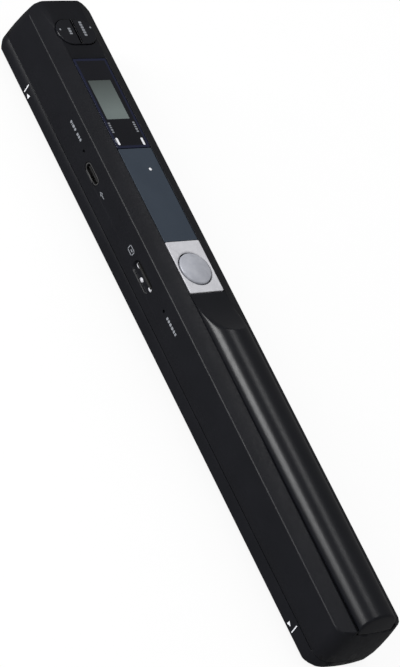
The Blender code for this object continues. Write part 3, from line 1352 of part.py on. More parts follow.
def make_sensor():
    """Contact image sensor: glass, housing, lens bar, light guide and its board."""
    start = SENSOR_START_X
    end = SENSOR_END_X
    glass = block(
        (GLASS_START_X, SENSOR_CENTRE_Y - GLASS_HALF, FLOOR_Z - GLASS_THICKNESS),
        (GLASS_END_X, SENSOR_CENTRE_Y + GLASS_HALF, FLOOR_Z),
    )
    as_part(glass, "scan_glass", "clear_glass")
    low = SENSOR_BOTTOM_Z
    board_low = SENSOR_TOP_Z - SENSOR_BOARD_THICKNESS
    guide_y = GUIDE_OFFSET_Y
    guide_half = GUIDE_RADIUS + GAP
    guide_top = low + 2 * GUIDE_RADIUS + 3 * GAP
    board_half = SENSOR_BOARD_HALF + GAP
    section = [
        (-SENSOR_HALF, low),
        (guide_y - guide_half, low),
        (guide_y - guide_half, guide_top),
        (guide_y + guide_half, guide_top),
        (guide_y + guide_half, low),
        (-LENS_SLOT_HALF, low),
        (-LENS_SLOT_HALF, low + LENS_SLOT_HEIGHT - GAP * 2),
        (LENS_SLOT_HALF, low + LENS_SLOT_HEIGHT - GAP * 2),
        (LENS_SLOT_HALF, low),
        (SENSOR_HALF, low),
        (SENSOR_HALF, SENSOR_TOP_Z),
        (board_half, SENSOR_TOP_Z),
        (board_half, board_low - GAP),
        (-board_half, board_low - GAP),
        (-board_half, SENSOR_TOP_Z),
        (-SENSOR_HALF, SENSOR_TOP_Z),
    ]
    housing = prism([[(y + SENSOR_CENTRE_Y, z) for y, z in section]], start, end)
    as_part(housing, "sensor_housing", "black_resin")
    lens_half = LENS_SLOT_HALF - GAP
    lens_high = low + LENS_SLOT_HEIGHT - GAP * 3
    lens = block(
        (start + WALL, SENSOR_CENTRE_Y - lens_half, lens_high - LENS_HEIGHT),
        (end - WALL, SENSOR_CENTRE_Y + lens_half, lens_high),
    )
    as_part(lens, "lens_array", "clear_glass")
    guide_place = ((start + end) / 2, SENSOR_CENTRE_Y + guide_y, guide_top - GAP - GUIDE_RADIUS)
    guide = cylinder(ALONG_X, guide_place, GUIDE_RADIUS, end - start - 2 * WALL)
    as_part(guide, "light_guide", "clear_plastic")
    board = block(
        (start + GAP, SENSOR_CENTRE_Y - SENSOR_BOARD_HALF, board_low),
        (end - GAP, SENSOR_CENTRE_Y + SENSOR_BOARD_HALF, SENSOR_TOP_Z),
    )
    as_part(board, "sensor_board", "green_board")


def gear_outline(teeth, phase):
    """Outline of a spur gear with straight flanks, one tooth centred on the phase angle."""
    pitch = GEAR_MODULE * teeth / 2
    tip = pitch + GEAR_MODULE * ADDENDUM_SHARE
    root = pitch - GEAR_MODULE * DEDENDUM_SHARE
    pitch_half = GEAR_MODULE * math.pi / 4 - BACKLASH / 2
    tip_half = pitch_half - GEAR_MODULE * ADDENDUM_SHARE * FLANK_SHARE
    root_half = pitch_half + GEAR_MODULE * DEDENDUM_SHARE * FLANK_SHARE
    root_turn = min(root_half / root, math.pi / teeth * ROOT_TURN_SHARE)
    points = []
    for tooth in range(teeth):
        middle = phase + math.tau * tooth / teeth
        for turn, radius in (
            (-root_turn, root),
            (-pitch_half / pitch, pitch),
            (-tip_half / tip, tip),
            (tip_half / tip, tip),
            (pitch_half / pitch, pitch),
            (root_turn, root),
        ):
            points.append((radius * math.cos(middle + turn), radius * math.sin(middle + turn)))
    return points


def make_rollers():
    """Shaft along the underside with a rubber roller near each end, its bushes and its pinion."""
    length = SHAFT_TAIL_X - SHAFT_HEAD_X
    shaft = cylinder(ALONG_X, ((SHAFT_HEAD_X + SHAFT_TAIL_X) / 2, SHAFT_Y, SHAFT_Z), SHAFT_RADIUS, length)
    as_part(shaft, "roller_shaft", "steel")
    bore = SHAFT_RADIUS + RUNNING_GAP
    half = ROLLER_LENGTH / 2
    edge = ROLLER_RADIUS - GAP
    roller_profile = [
        (edge, half),
        (ROLLER_RADIUS, half - GAP),
        (ROLLER_RADIUS, GAP - half),
        (edge, -half),
        (bore, -half),
        (bore, half),
    ]
    for x, name in ((HEAD_ROLLER_X, "head_roller"), (TAIL_ROLLER_X, "tail_roller")):
        as_part(turned(ALONG_X, (x, SHAFT_Y, SHAFT_Z), roller_profile, closed=True), name, "black_rubber")
    half = BUSH_LENGTH / 2
    bush_profile = [(BUSH_RADIUS, half), (BUSH_RADIUS, -half), (bore, -half), (bore, half)]
    for x, name in zip(BUSH_XS, ("head_bush", "tail_bush")):
        bush = turned(ALONG_X, (x, SHAFT_Y, SHAFT_Z), bush_profile, closed=True, sides=SMALL_SIDES)
        as_part(bush, name, "white_plastic")
    towards_encoder = math.atan2(ENCODER_Z - SHAFT_Z, ENCODER_Y - SHAFT_Y)
    pinion = extruded(
        [gear_outline(PINION_TEETH, towards_encoder), circle((0, 0), bore, SMALL_SIDES)],
        ALONG_X,
        PINION_X - PINION_LENGTH / 2,
        PINION_X + PINION_LENGTH / 2,
    )
    pinion.matrix_world = Matrix.Translation((0, SHAFT_Y, SHAFT_Z)) @ pinion.matrix_world
    as_part(pinion, "drive_pinion", "white_plastic")


def make_encoder():
    """Travel encoder: gear and slotted disc on one hub, its fixed pin and the light gate round the disc."""
    place = Matrix.Translation((0, ENCODER_Y, ENCODER_Z))
    bore = circle((0, 0), PIN_RADIUS + RUNNING_GAP, SMALL_SIDES)
    away = math.atan2(SHAFT_Z - ENCODER_Z, SHAFT_Y - ENCODER_Y) + math.pi / ENCODER_TEETH
    gear_half = ENCODER_GEAR_LENGTH / 2
    wheel = prism([gear_outline(ENCODER_TEETH, away), bore], PINION_X - gear_half, PINION_X + gear_half)
    disc_outlines = [circle((0, 0), DISC_RADIUS, ROUND_SIDES * 2), bore]
    for slot in range(DISC_SLOTS):
        middle = math.tau * slot / DISC_SLOTS
        half = math.pi / DISC_SLOTS * DISC_SLOT_TURN_SHARE
        outer = arc((0, 0), DISC_RADIUS * DISC_SLOT_OUTER_SHARE, middle - half, middle + half, 1)
        inner = arc((0, 0), DISC_RADIUS * DISC_SLOT_INNER_SHARE, middle + half, middle - half, 1)
        disc_outlines.append(outer + inner)
    disc = prism(disc_outlines, DISC_X - DISC_THICKNESS / 2, DISC_X + DISC_THICKNESS / 2)
    hub_outlines = [circle((0, 0), HUB_RADIUS, SMALL_SIDES), bore]
    hub = prism(hub_outlines, DISC_X - DISC_THICKNESS, PINION_X + gear_half + GAP)
    for piece in (wheel, disc, hub):
        piece.matrix_world = place @ piece.matrix_world
    as_part(add(wheel, [disc, hub]), "encoder_wheel", "white_plastic")
    pin_centre = ((PIN_HEAD_X + PIN_TAIL_X) / 2, ENCODER_Y, ENCODER_Z)
    as_part(cylinder(ALONG_X, pin_centre, PIN_RADIUS, PIN_TAIL_X - PIN_HEAD_X), "encoder_pin", "steel")
    rim_y = ENCODER_Y - DISC_RADIUS
    half_slot = FORK_SLOT / 2
    high_z = BOARD_BOTTOM_Z - GAP
    low_z = high_z - 2 * FORK_HALF_HEIGHT
    body = block(
        (DISC_X - half_slot - FORK_ARM, rim_y - GAP - FORK_BASE_DEPTH, low_z),
        (DISC_X + half_slot + FORK_ARM, rim_y + FORK_REACH, high_z),
    )
    gap_cut = block(
        (DISC_X - half_slot, rim_y - GAP, low_z - OVERRUN),
        (DISC_X + half_slot, rim_y + FORK_REACH + OVERRUN, high_z + OVERRUN),
    )
    as_part(cut(body, [gap_cut]), "light_gate", "black_resin")


def screw_solid(place, head_radius, head_height, shank_radius, shank_length):
    """Pan-head screw with its head down and its shank up."""
    profile = [
        (0, head_height + shank_length),
        (shank_radius, head_height + shank_length),
        (shank_radius, head_height),
        (head_radius, head_height),
        (head_radius, 0),
        (0, 0),
    ]
    return turned(ALONG_Z, place, profile, sides=SMALL_SIDES)


def make_fasteners():
    """Case screws, board screws and glide feet."""
    head_z = BODY_BOTTOM_Z + SCREW_SINK
    for index, (x, y) in enumerate(housing_screw_places()):
        screw = screw_solid(
            (x, y, head_z), SCREW_HEAD_RADIUS, SCREW_HEAD_HEIGHT, SCREW_SHANK_RADIUS, SCREW_SHANK_LENGTH
        )
        as_part(screw, f"case_screw_{index + 1}", "steel")
    key_places = key_post_places()
    under_key_board = KEY_BOARD_TOP_Z - KEY_BOARD_THICKNESS
    places = [(x, BOARD_POST_Y, BOARD_BOTTOM_Z) for x in BOARD_POST_XS]
    places += [(*key_places[0], under_key_board), (*key_places[-1], under_key_board)]
    for index, (x, y, board_bottom) in enumerate(places):
        screw = screw_solid(
            (x, y, board_bottom - GAP - BOARD_SCREW_HEAD_HEIGHT),
            BOARD_SCREW_HEAD_RADIUS,
            BOARD_SCREW_HEAD_HEIGHT,
            BOARD_SCREW_SHANK_RADIUS,
            BOARD_SCREW_SHANK_LENGTH,
        )
        as_part(screw, f"board_screw_{index + 1}", "steel")
    for x, name in ((HEAD_FOOT_X, "head_glide_foot"), (TAIL_FOOT_X, "tail_glide_foot")):
        foot = slab([stadium(x, FOOT_Y, FOOT_LENGTH / 2, FOOT_HALF)], 0, BODY_BOTTOM_Z + FOOT_SEAT - GAP)
        as_part(foot, name, "grey_plastic")


clear_scene()
parts = new_collection("handheld_scanner")
cutters = new_collection("cutters")
make_upper_shell()
make_lower_shell()
make_battery_cover()
make_deck_panels()
make_scan_button()
make_keys()
make_display()
make_status_light()
make_boards()
make_usb_socket()
make_card_socket()
make_pin_switches()
make_cells()
make_sensor()
make_rollers()
make_encoder()
make_fasteners()
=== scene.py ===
"""The looks of a handheld scanner: finishes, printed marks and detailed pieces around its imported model."""

import json
import logging
import math
from dataclasses import dataclass, field
from enum import Enum

import bmesh
import bpy
import numpy as np
from mathutils import Matrix, Vector


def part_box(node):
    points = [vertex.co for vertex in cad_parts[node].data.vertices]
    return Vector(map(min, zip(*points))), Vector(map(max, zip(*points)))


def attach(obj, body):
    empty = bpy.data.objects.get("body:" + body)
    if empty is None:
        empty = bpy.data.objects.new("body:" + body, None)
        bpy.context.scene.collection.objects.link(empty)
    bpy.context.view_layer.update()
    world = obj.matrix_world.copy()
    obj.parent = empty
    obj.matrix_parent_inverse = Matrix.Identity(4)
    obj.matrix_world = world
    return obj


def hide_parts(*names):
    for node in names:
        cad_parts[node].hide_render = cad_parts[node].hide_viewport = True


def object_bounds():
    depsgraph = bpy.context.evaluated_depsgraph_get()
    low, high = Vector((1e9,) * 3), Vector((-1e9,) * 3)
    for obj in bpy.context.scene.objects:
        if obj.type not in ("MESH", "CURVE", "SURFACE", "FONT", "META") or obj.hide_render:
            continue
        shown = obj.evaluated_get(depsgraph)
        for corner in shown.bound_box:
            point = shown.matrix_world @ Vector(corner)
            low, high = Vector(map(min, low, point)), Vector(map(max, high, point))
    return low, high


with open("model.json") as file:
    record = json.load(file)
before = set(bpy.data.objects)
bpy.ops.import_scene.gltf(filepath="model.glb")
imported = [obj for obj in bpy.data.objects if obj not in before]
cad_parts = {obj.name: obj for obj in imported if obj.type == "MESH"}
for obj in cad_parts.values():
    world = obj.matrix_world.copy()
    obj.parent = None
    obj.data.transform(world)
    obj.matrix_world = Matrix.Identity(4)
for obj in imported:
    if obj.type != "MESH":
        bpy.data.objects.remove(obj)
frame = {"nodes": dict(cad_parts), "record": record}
CAD_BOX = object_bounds()
LOG = logging.getLogger("scanner")
SMOOTH_ANGLE = math.radians(32)
WELD_DISTANCE = 0.000001


class Body(Enum):
    """Bodies of the model that pieces ride on."""

    CASE = "case"
    SCAN_BUTTON = "scan_button"
    LEFT_KEY = "left_key"
    RIGHT_KEY = "right_key"
    COVER = "battery_cover"
    ROLLERS = "rollers"


class Slot(Enum):
    """Material slots of the record."""

    BLACK_CASE = "black_case"
    BLACK_COVER = "black_cover"
    DARK_WINDOW = "dark_window"
    GREY_DISPLAY = "grey_display"
    SLATE_LABEL = "slate_label"
    SATIN_SILVER = "satin_silver"
    SILVER_PLASTIC = "silver_plastic"
    CLEAR_PLASTIC = "clear_plastic"
    WHITE_PLASTIC = "white_plastic"
    GREY_PLASTIC = "grey_plastic"
    GREEN_BOARD = "green_board"
    BLACK_RESIN = "black_resin"
    TIN_PLATE = "tin_plate"
    STEEL = "steel"
    BLACK_RUBBER = "black_rubber"
    CLEAR_GLASS = "clear_glass"
    CELL_JACKET = "cell_jacket"


class Relief(Enum):
    """Kinds of fine relief that a finish can carry."""

    MOULDED = "moulded"
    BRUSHED = "brushed"
    SPUN = "spun"
    PEBBLED = "pebbled"


class Face(Enum):
    """Outside faces that take printed marks, as (across, up, outwards) axes."""

    WALL = ((1, 0, 0), (0, 0, 1), (0, -1, 0))
    DECK = ((1, 0, 0), (0, 1, 0), (0, 0, 1))


class NodeGraph:
    """Shader nodes of a material or of the world, added and joined by short calls."""

    def __init__(self, owner: bpy.types.Material | bpy.types.World) -> None:
        """Starts with the output and the one main shader that Blender gives it.

        Args:
            owner: A new material or world.
        """
        owner.use_nodes = True
        self.owner = owner
        self.tree = owner.node_tree
        outputs = ("ShaderNodeOutputMaterial", "ShaderNodeOutputWorld")
        self.shader = next(node for node in self.tree.nodes if node.bl_idname not in outputs)

    def add(self, kind: str, links: dict | None = None, **settings: object) -> bpy.types.Node:
        """Adds a node.

        Args:
            kind: Blender's name of the node type.
            links: Sockets that feed the new node's inputs, or plain values for them, by input name.
            **settings: Properties of the node.

        Returns:
            The new node.
        """
        node = self.tree.nodes.new(kind)
        for key, value in settings.items():
            setattr(node, key, value)
        for key, value in (links or {}).items():
            self.feed(node, key, value)
        return node

    def feed(self, node: bpy.types.Node, key: str | int, value: object) -> None:
        """Joins a socket to an input, or sets the input to a plain value.

        Args:
            node: Node with the input.
            key: Name or number of the input.
            value: Output socket, or a number, colour or vector.
        """
        if isinstance(value, bpy.types.NodeSocket):
            self.tree.links.new(value, node.inputs[key])
        else:
            node.inputs[key].default_value = value

    def places(self, scale: tuple = (1, 1, 1), centre: tuple = (0, 0, 0)) -> bpy.types.NodeSocket:
        """Object coordinates, centred and then stretched.

        Args:
            scale: Factor along each axis.
            centre: Point that becomes the origin.

        Returns:
            Socket of the coordinates.
        """
        source = self.add("ShaderNodeTexCoord").outputs["Object"]
        shift = self.add("ShaderNodeVectorMath", {0: source, 1: centre}, operation="SUBTRACT")
        stretch = self.add("ShaderNodeVectorMath", {0: shift.outputs[0], 1: scale}, operation="MULTIPLY")
        return stretch.outputs[0]

    def noise(self, places: bpy.types.NodeSocket, scale: float, detail: float = 3) -> bpy.types.NodeSocket:
        """Noise over the given places.

        Args:
            places: Coordinates.
            scale: Bumps per metre.
            detail: Octaves of the noise.

        Returns:
            Socket of the noise, from 0 to 1.
        """
        links = {"Vector": places, "Scale": scale, "Detail": detail}
        return self.add("ShaderNodeTexNoise", links).outputs[0]

    def spread(self, value: bpy.types.NodeSocket, low: float, high: float) -> bpy.types.NodeSocket:
        """Maps the middle of a noise's range to a range of values.

        Args:
            value: Socket with values around a half.
            low: Result at 0.3.
            high: Result at 0.7.

        Returns:
            Socket of the mapped values.
        """
        links = {"Value": value, "From Min": 0.3, "From Max": 0.7, "To Min": low, "To Max": high}
        return self.add("ShaderNodeMapRange", links).outputs[0]

    def mix(self, share: object, first: object, second: object) -> bpy.types.NodeSocket:
        """Mixes two colours.

        Args:
            share: Share of the second colour.
            first: Colour or socket.
            second: Colour or socket.

        Returns:
            Socket of the mixed colour.
        """
        node = self.add("ShaderNodeMix", data_type="RGBA")
        self.feed(node, 0, share)
        self.feed(node, 6, first)
        self.feed(node, 7, second)
        return node.outputs[2]

    def step(self, value: bpy.types.NodeSocket, edge: float, width: float) -> bpy.types.NodeSocket:
        """Rises from 0 to 1 where a value passes an edge.

        Args:
            value: Socket of the value.
            edge: Value where the rise is half done.
            width: Width of the rise.

        Returns:
            Socket of the step.
        """
        links = {"Value": value, "From Min": edge - width / 2, "From Max": edge + width / 2}
        return self.add("ShaderNodeMapRange", links).outputs[0]

    def maths(self, operation: str, first: object, second: object = 0.0) -> bpy.types.NodeSocket:
        """One sum on two numbers.

        Args:
            operation: Blender's name of the sum.
            first: Number or socket.
            second: Number or socket.

        Returns:
            Socket of the result.
        """
        return self.add("ShaderNodeMath", {0: first, 1: second}, operation=operation).outputs[0]


@dataclass(frozen=True)
class Finish:
    """A surface finish with broad colour variation, uneven gloss and fine relief.

    The colour is mixed with a second shade by broad noise, the roughness wanders with finer noise, and
    the relief is a bump whose height is noise, lines or rings.
    """

    name: str
    colour: tuple[float, float, float]
    shade: tuple[float, float, float]
    roughness: float = 0.45
    roughness_spread: float = 0.06
    specular: float = 0.5
    metallic: float = 0.0
    coat: float = 0.0
    relief: Relief = Relief.MOULDED
    grain: float = 3200.0
    depth: float = 0.00001
    patch: float = 90.0
    centre: tuple[float, float, float] = (0, 0, 0)
    line_stretch: float = 0.03
    ring_scale: float = 9000.0

    def colours(self, graph: NodeGraph) -> bpy.types.NodeSocket:
        """Base colour, mixed from both shades by broad noise."""
        share = graph.spread(graph.noise(graph.places(), self.patch, 4), 0.0, 1.0)
        return graph.mix(share, (*self.colour, 1), (*self.shade, 1))

    def heights(self, graph: NodeGraph) -> bpy.types.NodeSocket:
        """Relief height: grains, lines along X, rings about Z, or pebbles.

        Args:
            graph: Nodes of the material.

        Returns:
            Socket of the height, from 0 to 1.
        """
        if self.relief is Relief.BRUSHED:
            return graph.noise(graph.places((self.line_stretch, 1, 1)), self.grain)
        if self.relief is Relief.SPUN:
            flat = graph.places((1, 1, 0), self.centre)
            radius = graph.add("ShaderNodeVectorMath", {0: flat}, operation="LENGTH").outputs["Value"]
            along = graph.add("ShaderNodeCombineXYZ", {0: radius})
            return graph.noise(along.outputs[0], self.ring_scale, 2)
        if self.relief is Relief.PEBBLED:
            links = {"Vector": graph.places(), "Scale": self.grain}
            return graph.add("ShaderNodeTexVoronoi", links).outputs["Distance"]
        return graph.noise(graph.places(), self.grain)

    def material(self) -> bpy.types.Material:
        """Builds the material, or gives the one already built.

        Returns:
            The material of this finish.
        """
        if self.name in bpy.data.materials:
            return bpy.data.materials[self.name]
        graph = NodeGraph(bpy.data.materials.new(self.name))
        shader = graph.shader
        graph.feed(shader, "Base Color", self.colours(graph))
        gloss = graph.noise(graph.places(), self.grain / 5)
        low = self.roughness - self.roughness_spread
        high = self.roughness + self.roughness_spread
        graph.feed(shader, "Roughness", graph.spread(gloss, low, high))
        graph.feed(shader, "Metallic", self.metallic)
        graph.feed(shader, "Specular IOR Level", self.specular)
        graph.feed(shader, "Coat Weight", self.coat)
        links = {"Height": self.heights(graph), "Distance": self.depth, "Strength": 1.0}
        graph.feed(shader, "Normal", graph.add("ShaderNodeBump", links).outputs[0])
        self.extras(graph)
        return graph.owner

    def extras(self, graph: NodeGraph) -> None:
        """Further settings of a special finish; the plain ones have none."""


@dataclass(frozen=True)
class ClearFinish(Finish):
    """Glass or clear moulding, which light passes through."""

    def extras(self, graph: NodeGraph) -> None:
        """Lets light through."""
        graph.feed(graph.shader, "Transmission Weight", 1.0)


@dataclass(frozen=True)
class DisplayFinish(Finish):
    """A switched-off display: grey-green with a faint grid of cells, and painted shade that darkens it
    towards its head end.
    """

    start_x: float = 0.0
    end_x: float = 0.0
    # Painted shade: the colour the display blends to at its head end, also the colour of the lines between
    # its cells.
    shade_and_cell_line: tuple[float, float, float] = (0.03, 0.036, 0.034)
    cell: float = 0.0007

    def colours(self, graph: NodeGraph) -> bpy.types.NodeSocket:
        """Painted shade blending from dark at the head end to light along X, with thin darker lines between
        the cells.

        Args:
            graph: Nodes of the material.

        Returns:
            Socket of the colour.
        """
        split = graph.add("ShaderNodeSeparateXYZ", {0: graph.places()})
        length = self.end_x - self.start_x
        # Painted shade: the share of the lighter colour grows from the head end towards the tail.
        share = graph.step(split.outputs[0], self.start_x + length / 4, length * 1.1)
        plain = graph.mix(share, (*self.shade_and_cell_line, 1), super().colours(graph))
        lines = []
        for axis in (0, 1):
            wave = graph.maths("PINGPONG", split.outputs[axis], self.cell / 2)
            lines.append(graph.step(wave, self.cell / 22, self.cell / 11))
        cells = graph.maths("MULTIPLY", lines[0], lines[1])
        faded = graph.mix(0.88, (*self.shade_and_cell_line, 1), plain)
        return graph.mix(cells, faded, plain)


@dataclass(frozen=True)
class WindowFinish(Finish):
    """Smoked window with a navy band printed along its edges."""

    centre: tuple[float, float, float] = (0, 0, 0)
    half_length: float = 0.019
    half_width: float = 0.0074
    band: float = 0.001
    navy: tuple[float, float, float] = (0.0105, 0.0125, 0.029)

    def colours(self, graph: NodeGraph) -> bpy.types.NodeSocket:
        """Smoked colour inside, navy in the band along the edges.

        Args:
            graph: Nodes of the material.

        Returns:
            Socket of the colour.
        """
        split = graph.add("ShaderNodeSeparateXYZ", {0: graph.places((1, 1, 1), self.centre)})
        inside = []
        for axis, half in ((0, self.half_length), (1, self.half_width)):
            reach = graph.maths("ABSOLUTE", split.outputs[axis])
            inside.append(graph.step(reach, half - self.band, self.band / 3))
        edge = graph.maths("MAXIMUM", inside[0], inside[1])
        return graph.mix(edge, super().colours(graph), (*self.navy, 1))


@dataclass(frozen=True)
class BoardFinish(Finish):
    """Circuit board: green mask with copper tracks showing lighter through it."""

    track: tuple[float, float, float] = (0.02, 0.13, 0.05)

    def colours(self, graph: NodeGraph) -> bpy.types.NodeSocket:
        """Green with lighter stripes where a brick pattern has its joints.

        Args:
            graph: Nodes of the material.

        Returns:
            Socket of the colour.
        """
        links = {
            "Vector": graph.places(),
            "Scale": 700.0,
            "Mortar Size": 0.06,
            "Color1": (*self.colour, 1),
            "Color2": (*self.shade, 1),
            "Mortar": (*self.track, 1),
        }
        return graph.add("ShaderNodeTexBrick", links).outputs["Color"]


@dataclass(frozen=True)
class JacketFinish(Finish):
    """Cell jacket: dark sleeve with a lighter band at each end."""

    band: tuple[float, float, float] = (0.25, 0.26, 0.28)
    period: float = 0.0253
    band_start: float = 0.93
    band_blur: float = 0.0002

    def colours(self, graph: NodeGraph) -> bpy.types.NodeSocket:
        """Dark sleeve, with bands that a wave along X places.

        Args:
            graph: Nodes of the material.

        Returns:
            Socket of the colour.
        """
        split = graph.add("ShaderNodeSeparateXYZ", {0: graph.places()})
        wave = graph.maths("PINGPONG", split.outputs[0], self.period)
        share = graph.step(wave, self.period * self.band_start, self.band_blur)
        return graph.mix(share, super().colours(graph), (*self.band, 1))


def boxed(node: str) -> tuple[Vector, Vector]:
    """Lowest and highest corner of a node of the model."""
    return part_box(node)


WINDOW_LOW, WINDOW_HIGH = boxed("display_window")
DISPLAY_LOW, DISPLAY_HIGH = boxed("lcd_panel")
BUTTON_LOW, BUTTON_HIGH = boxed("scan_button")
BUTTON_CENTRE = (BUTTON_LOW + BUTTON_HIGH) / 2

FINISHES = {
    Slot.BLACK_CASE: Finish(
        "case plastic",
        (0.0056, 0.006, 0.0084),
        (0.007, 0.0074, 0.0102),
        0.42,
        0.05,
        0.25,
        grain=4200.0,
        depth=0.000012,
    ),
    Slot.BLACK_COVER: Finish(
        "cover plastic",
        (0.005, 0.0054, 0.0076),
        (0.0062, 0.0066, 0.009),
        0.32,
        0.02,
        0.36,
        grain=4200.0,
        depth=0.000004,
    ),
    Slot.DARK_WINDOW: WindowFinish(
        "smoked window",
        (0.0062, 0.0064, 0.0086),
        (0.0078, 0.008, 0.0106),
        0.2,
        0.03,
        0.3,
        depth=0.000001,
        centre=tuple((WINDOW_LOW + WINDOW_HIGH) / 2),
        half_length=(WINDOW_HIGH.x - WINDOW_LOW.x) / 2,
        half_width=(WINDOW_HIGH.y - WINDOW_LOW.y) / 2,
    ),
    Slot.GREY_DISPLAY: DisplayFinish(
        "display glass",
        (0.118, 0.142, 0.138),
        (0.132, 0.157, 0.152),
        0.25,
        0.02,
        0.4,
        depth=0.000001,
        start_x=DISPLAY_LOW.x,
        end_x=DISPLAY_HIGH.x,
    ),
    Slot.SLATE_LABEL: Finish(
        "label film",
        (0.026, 0.037, 0.054),
        (0.03, 0.042, 0.06),
        0.5,
        0.04,
        0.35,
        grain=5200.0,
        depth=0.000008,
    ),
    Slot.SATIN_SILVER: Finish(
        "satin plate",
        (0.5, 0.5, 0.53),
        (0.56, 0.56, 0.59),
        0.42,
        0.05,
        0.5,
        metallic=0.12,
        grain=5200.0,
        depth=0.000012,
        patch=300.0,
    ),
    Slot.SILVER_PLASTIC: Finish(
        "button silver",
        (0.33, 0.34, 0.38),
        (0.4, 0.41, 0.45),
        0.36,
        0.06,
        0.5,
        metallic=0.15,
        relief=Relief.SPUN,
        depth=0.000008,
        patch=380.0,
        centre=tuple(BUTTON_CENTRE),
    ),
    Slot.CLEAR_PLASTIC: ClearFinish(
        "clear moulding",
        (0.9, 0.93, 0.95),
        (0.95, 0.96, 0.98),
        0.12,
        0.03,
        depth=0.000001,
    ),
    Slot.WHITE_PLASTIC: Finish(
        "white acetal",
        (0.62, 0.62, 0.6),
        (0.7, 0.7, 0.67),
        0.38,
        0.05,
        depth=0.000004,
    ),
    Slot.GREY_PLASTIC: Finish(
        "glide plastic",
        (0.1, 0.1, 0.105),
        (0.13, 0.13, 0.135),
        0.3,
        0.08,
        depth=0.00001,
    ),
    Slot.GREEN_BOARD: BoardFinish(
        "circuit board",
        (0.006, 0.06, 0.022),
        (0.007, 0.07, 0.026),
        0.3,
        0.05,
        depth=0.00001,
    ),
    Slot.BLACK_RESIN: Finish(
        "black resin",
        (0.012, 0.012, 0.012),
        (0.02, 0.02, 0.02),
        0.55,
        0.06,
        depth=0.00001,
    ),
    Slot.TIN_PLATE: Finish(
        "tinned sheet",
        (0.55, 0.55, 0.56),
        (0.62, 0.62, 0.62),
        0.28,
        0.08,
        metallic=1.0,
        relief=Relief.BRUSHED,
        depth=0.000003,
    ),
    Slot.STEEL: Finish(
        "bright steel",
        (0.5, 0.5, 0.5),
        (0.6, 0.6, 0.6),
        0.25,
        0.08,
        metallic=1.0,
        depth=0.000003,
    ),
    Slot.BLACK_RUBBER: Finish(
        "ground rubber",
        (0.01, 0.01, 0.01),
        (0.022, 0.022, 0.022),
        0.75,
        0.1,
        0.25,
        relief=Relief.PEBBLED,
        grain=2600.0,
        depth=0.00003,
    ),
    Slot.CLEAR_GLASS: ClearFinish(
        "scan glass",
        (0.92, 0.97, 0.95),
        (0.94, 0.98, 0.96),
        0.03,
        0.01,
        depth=0.0000005,
    ),
    Slot.CELL_JACKET: JacketFinish(
        "cell sleeve",
        (0.02, 0.03, 0.035),
        (0.03, 0.04, 0.045),
        0.3,
        0.05,
        coat=0.5,
    ),
}
WHITE_INK = Finish("white ink", (0.62, 0.63, 0.66), (0.72, 0.73, 0.76), 0.5, 0.05, depth=0.000004)
GREY_INK = Finish("grey ink", (0.16, 0.17, 0.19), (0.22, 0.23, 0.25), 0.5, 0.05, depth=0.000004)
KEY_FINISH = Finish(
    "key plastic",
    (0.0062, 0.0065, 0.0088),
    (0.0078, 0.0082, 0.0108),
    0.24,
    0.03,
    0.4,
    depth=0.000004,
)


def grid_faces(rows: int, columns: int, joined_rows: bool = False) -> np.ndarray:
    """Four-sided faces between neighbours of a grid whose columns run round.

    Point (r, c) has number r * columns + c. Each face takes (r, c), (r, c + 1), (r + 1, c + 1) and
    (r + 1, c), with the column number taken round, and the row number too where the rows are joined.

    Args:
        rows: Number of rows.
        columns: Number of points in a row.
        joined_rows: Whether the last row joins the first.

    Returns:
        Array of point numbers, four to a face.
    """
    last = rows if joined_rows else rows - 1
    row, column = np.meshgrid(np.arange(last), np.arange(columns), indexing="ij")
    after = (column + 1) % columns
    below = (row + 1) % rows
    here, there = row * columns, below * columns
    corners = (here + column, here + after, there + after, there + column)
    return np.stack(corners, axis=-1).reshape(-1, 4)


def finished(mesh: bpy.types.Mesh, finish: Finish) -> bpy.types.Object:
    """Makes an object of a mesh, with normals outwards, smooth shading up to an angle and its finish.

    Args:
        mesh: The mesh, in the model's frame.
        finish: Finish of the whole mesh.

    Returns:
        The new object.
    """
    form = bmesh.new()
    form.from_mesh(mesh)
    bmesh.ops.recalc_face_normals(form, faces=form.faces)
    form.to_mesh(mesh)
    form.free()
    mesh.polygons.foreach_set("use_smooth", np.ones(len(mesh.polygons), dtype=bool))
    mesh.set_sharp_from_angle(angle=SMOOTH_ANGLE)
    mesh.materials.clear()
    mesh.materials.append(finish.material())
    piece = bpy.data.objects.new(mesh.name, mesh)
    bpy.context.scene.collection.objects.link(piece)
    weighted = piece.modifiers.new("weighted normals", "WEIGHTED_NORMAL")
    weighted.keep_sharp = True
    return piece


def ring_surface(name: str, rings: np.ndarray, finish: Finish, joined: bool = False) -> bpy.types.Object:
    """Closed surface through rings of points.

    The surface is a function of two parameters, the ring and the place round it. Its ends are closed
    by flat faces on the first and last ring, or the last ring joins the first.

    Args:
        name: Name of the piece.
        rings: Points, as rings by places by coordinates.
        finish: Finish of the piece.
        joined: Whether the last ring joins the first.

    Returns:
        The new object.
    """
    count, places = rings.shape[:2]
    faces = grid_faces(count, places, joined).tolist()
    if not joined:
        faces.append(list(range(places)))
        faces.append(list(range((count - 1) * places, count * places)))
    mesh = bpy.data.meshes.new(name)
    mesh.from_pydata(rings.reshape(-1, 3).tolist(), [], faces)
    return finished(mesh, finish)


def joined_surfaces(name: str, solids: list[np.ndarray], finish: Finish) -> bpy.types.Object:
    """One piece of several closed ring surfaces that have the same number of rings and places.

    Args:
        name: Name of the piece.
        solids: Rings of each surface.
        finish: Finish of the piece.

    Returns:
        The new object.
    """
    stack = np.array(solids)
    count, rings, places = stack.shape[:3]
    base = grid_faces(rings, places)
    starts = np.arange(count) * rings * places
    faces = (base[None] + starts[:, None, None]).reshape(-1, 4).tolist()
    ends = [range(places), range((rings - 1) * places, rings * places)]
    faces += [[int(start) + point for point in end] for start in starts for end in ends]
    mesh = bpy.data.meshes.new(name)
    mesh.from_pydata(stack.reshape(-1, 3).tolist(), [], faces)
    return finished(mesh, finish)


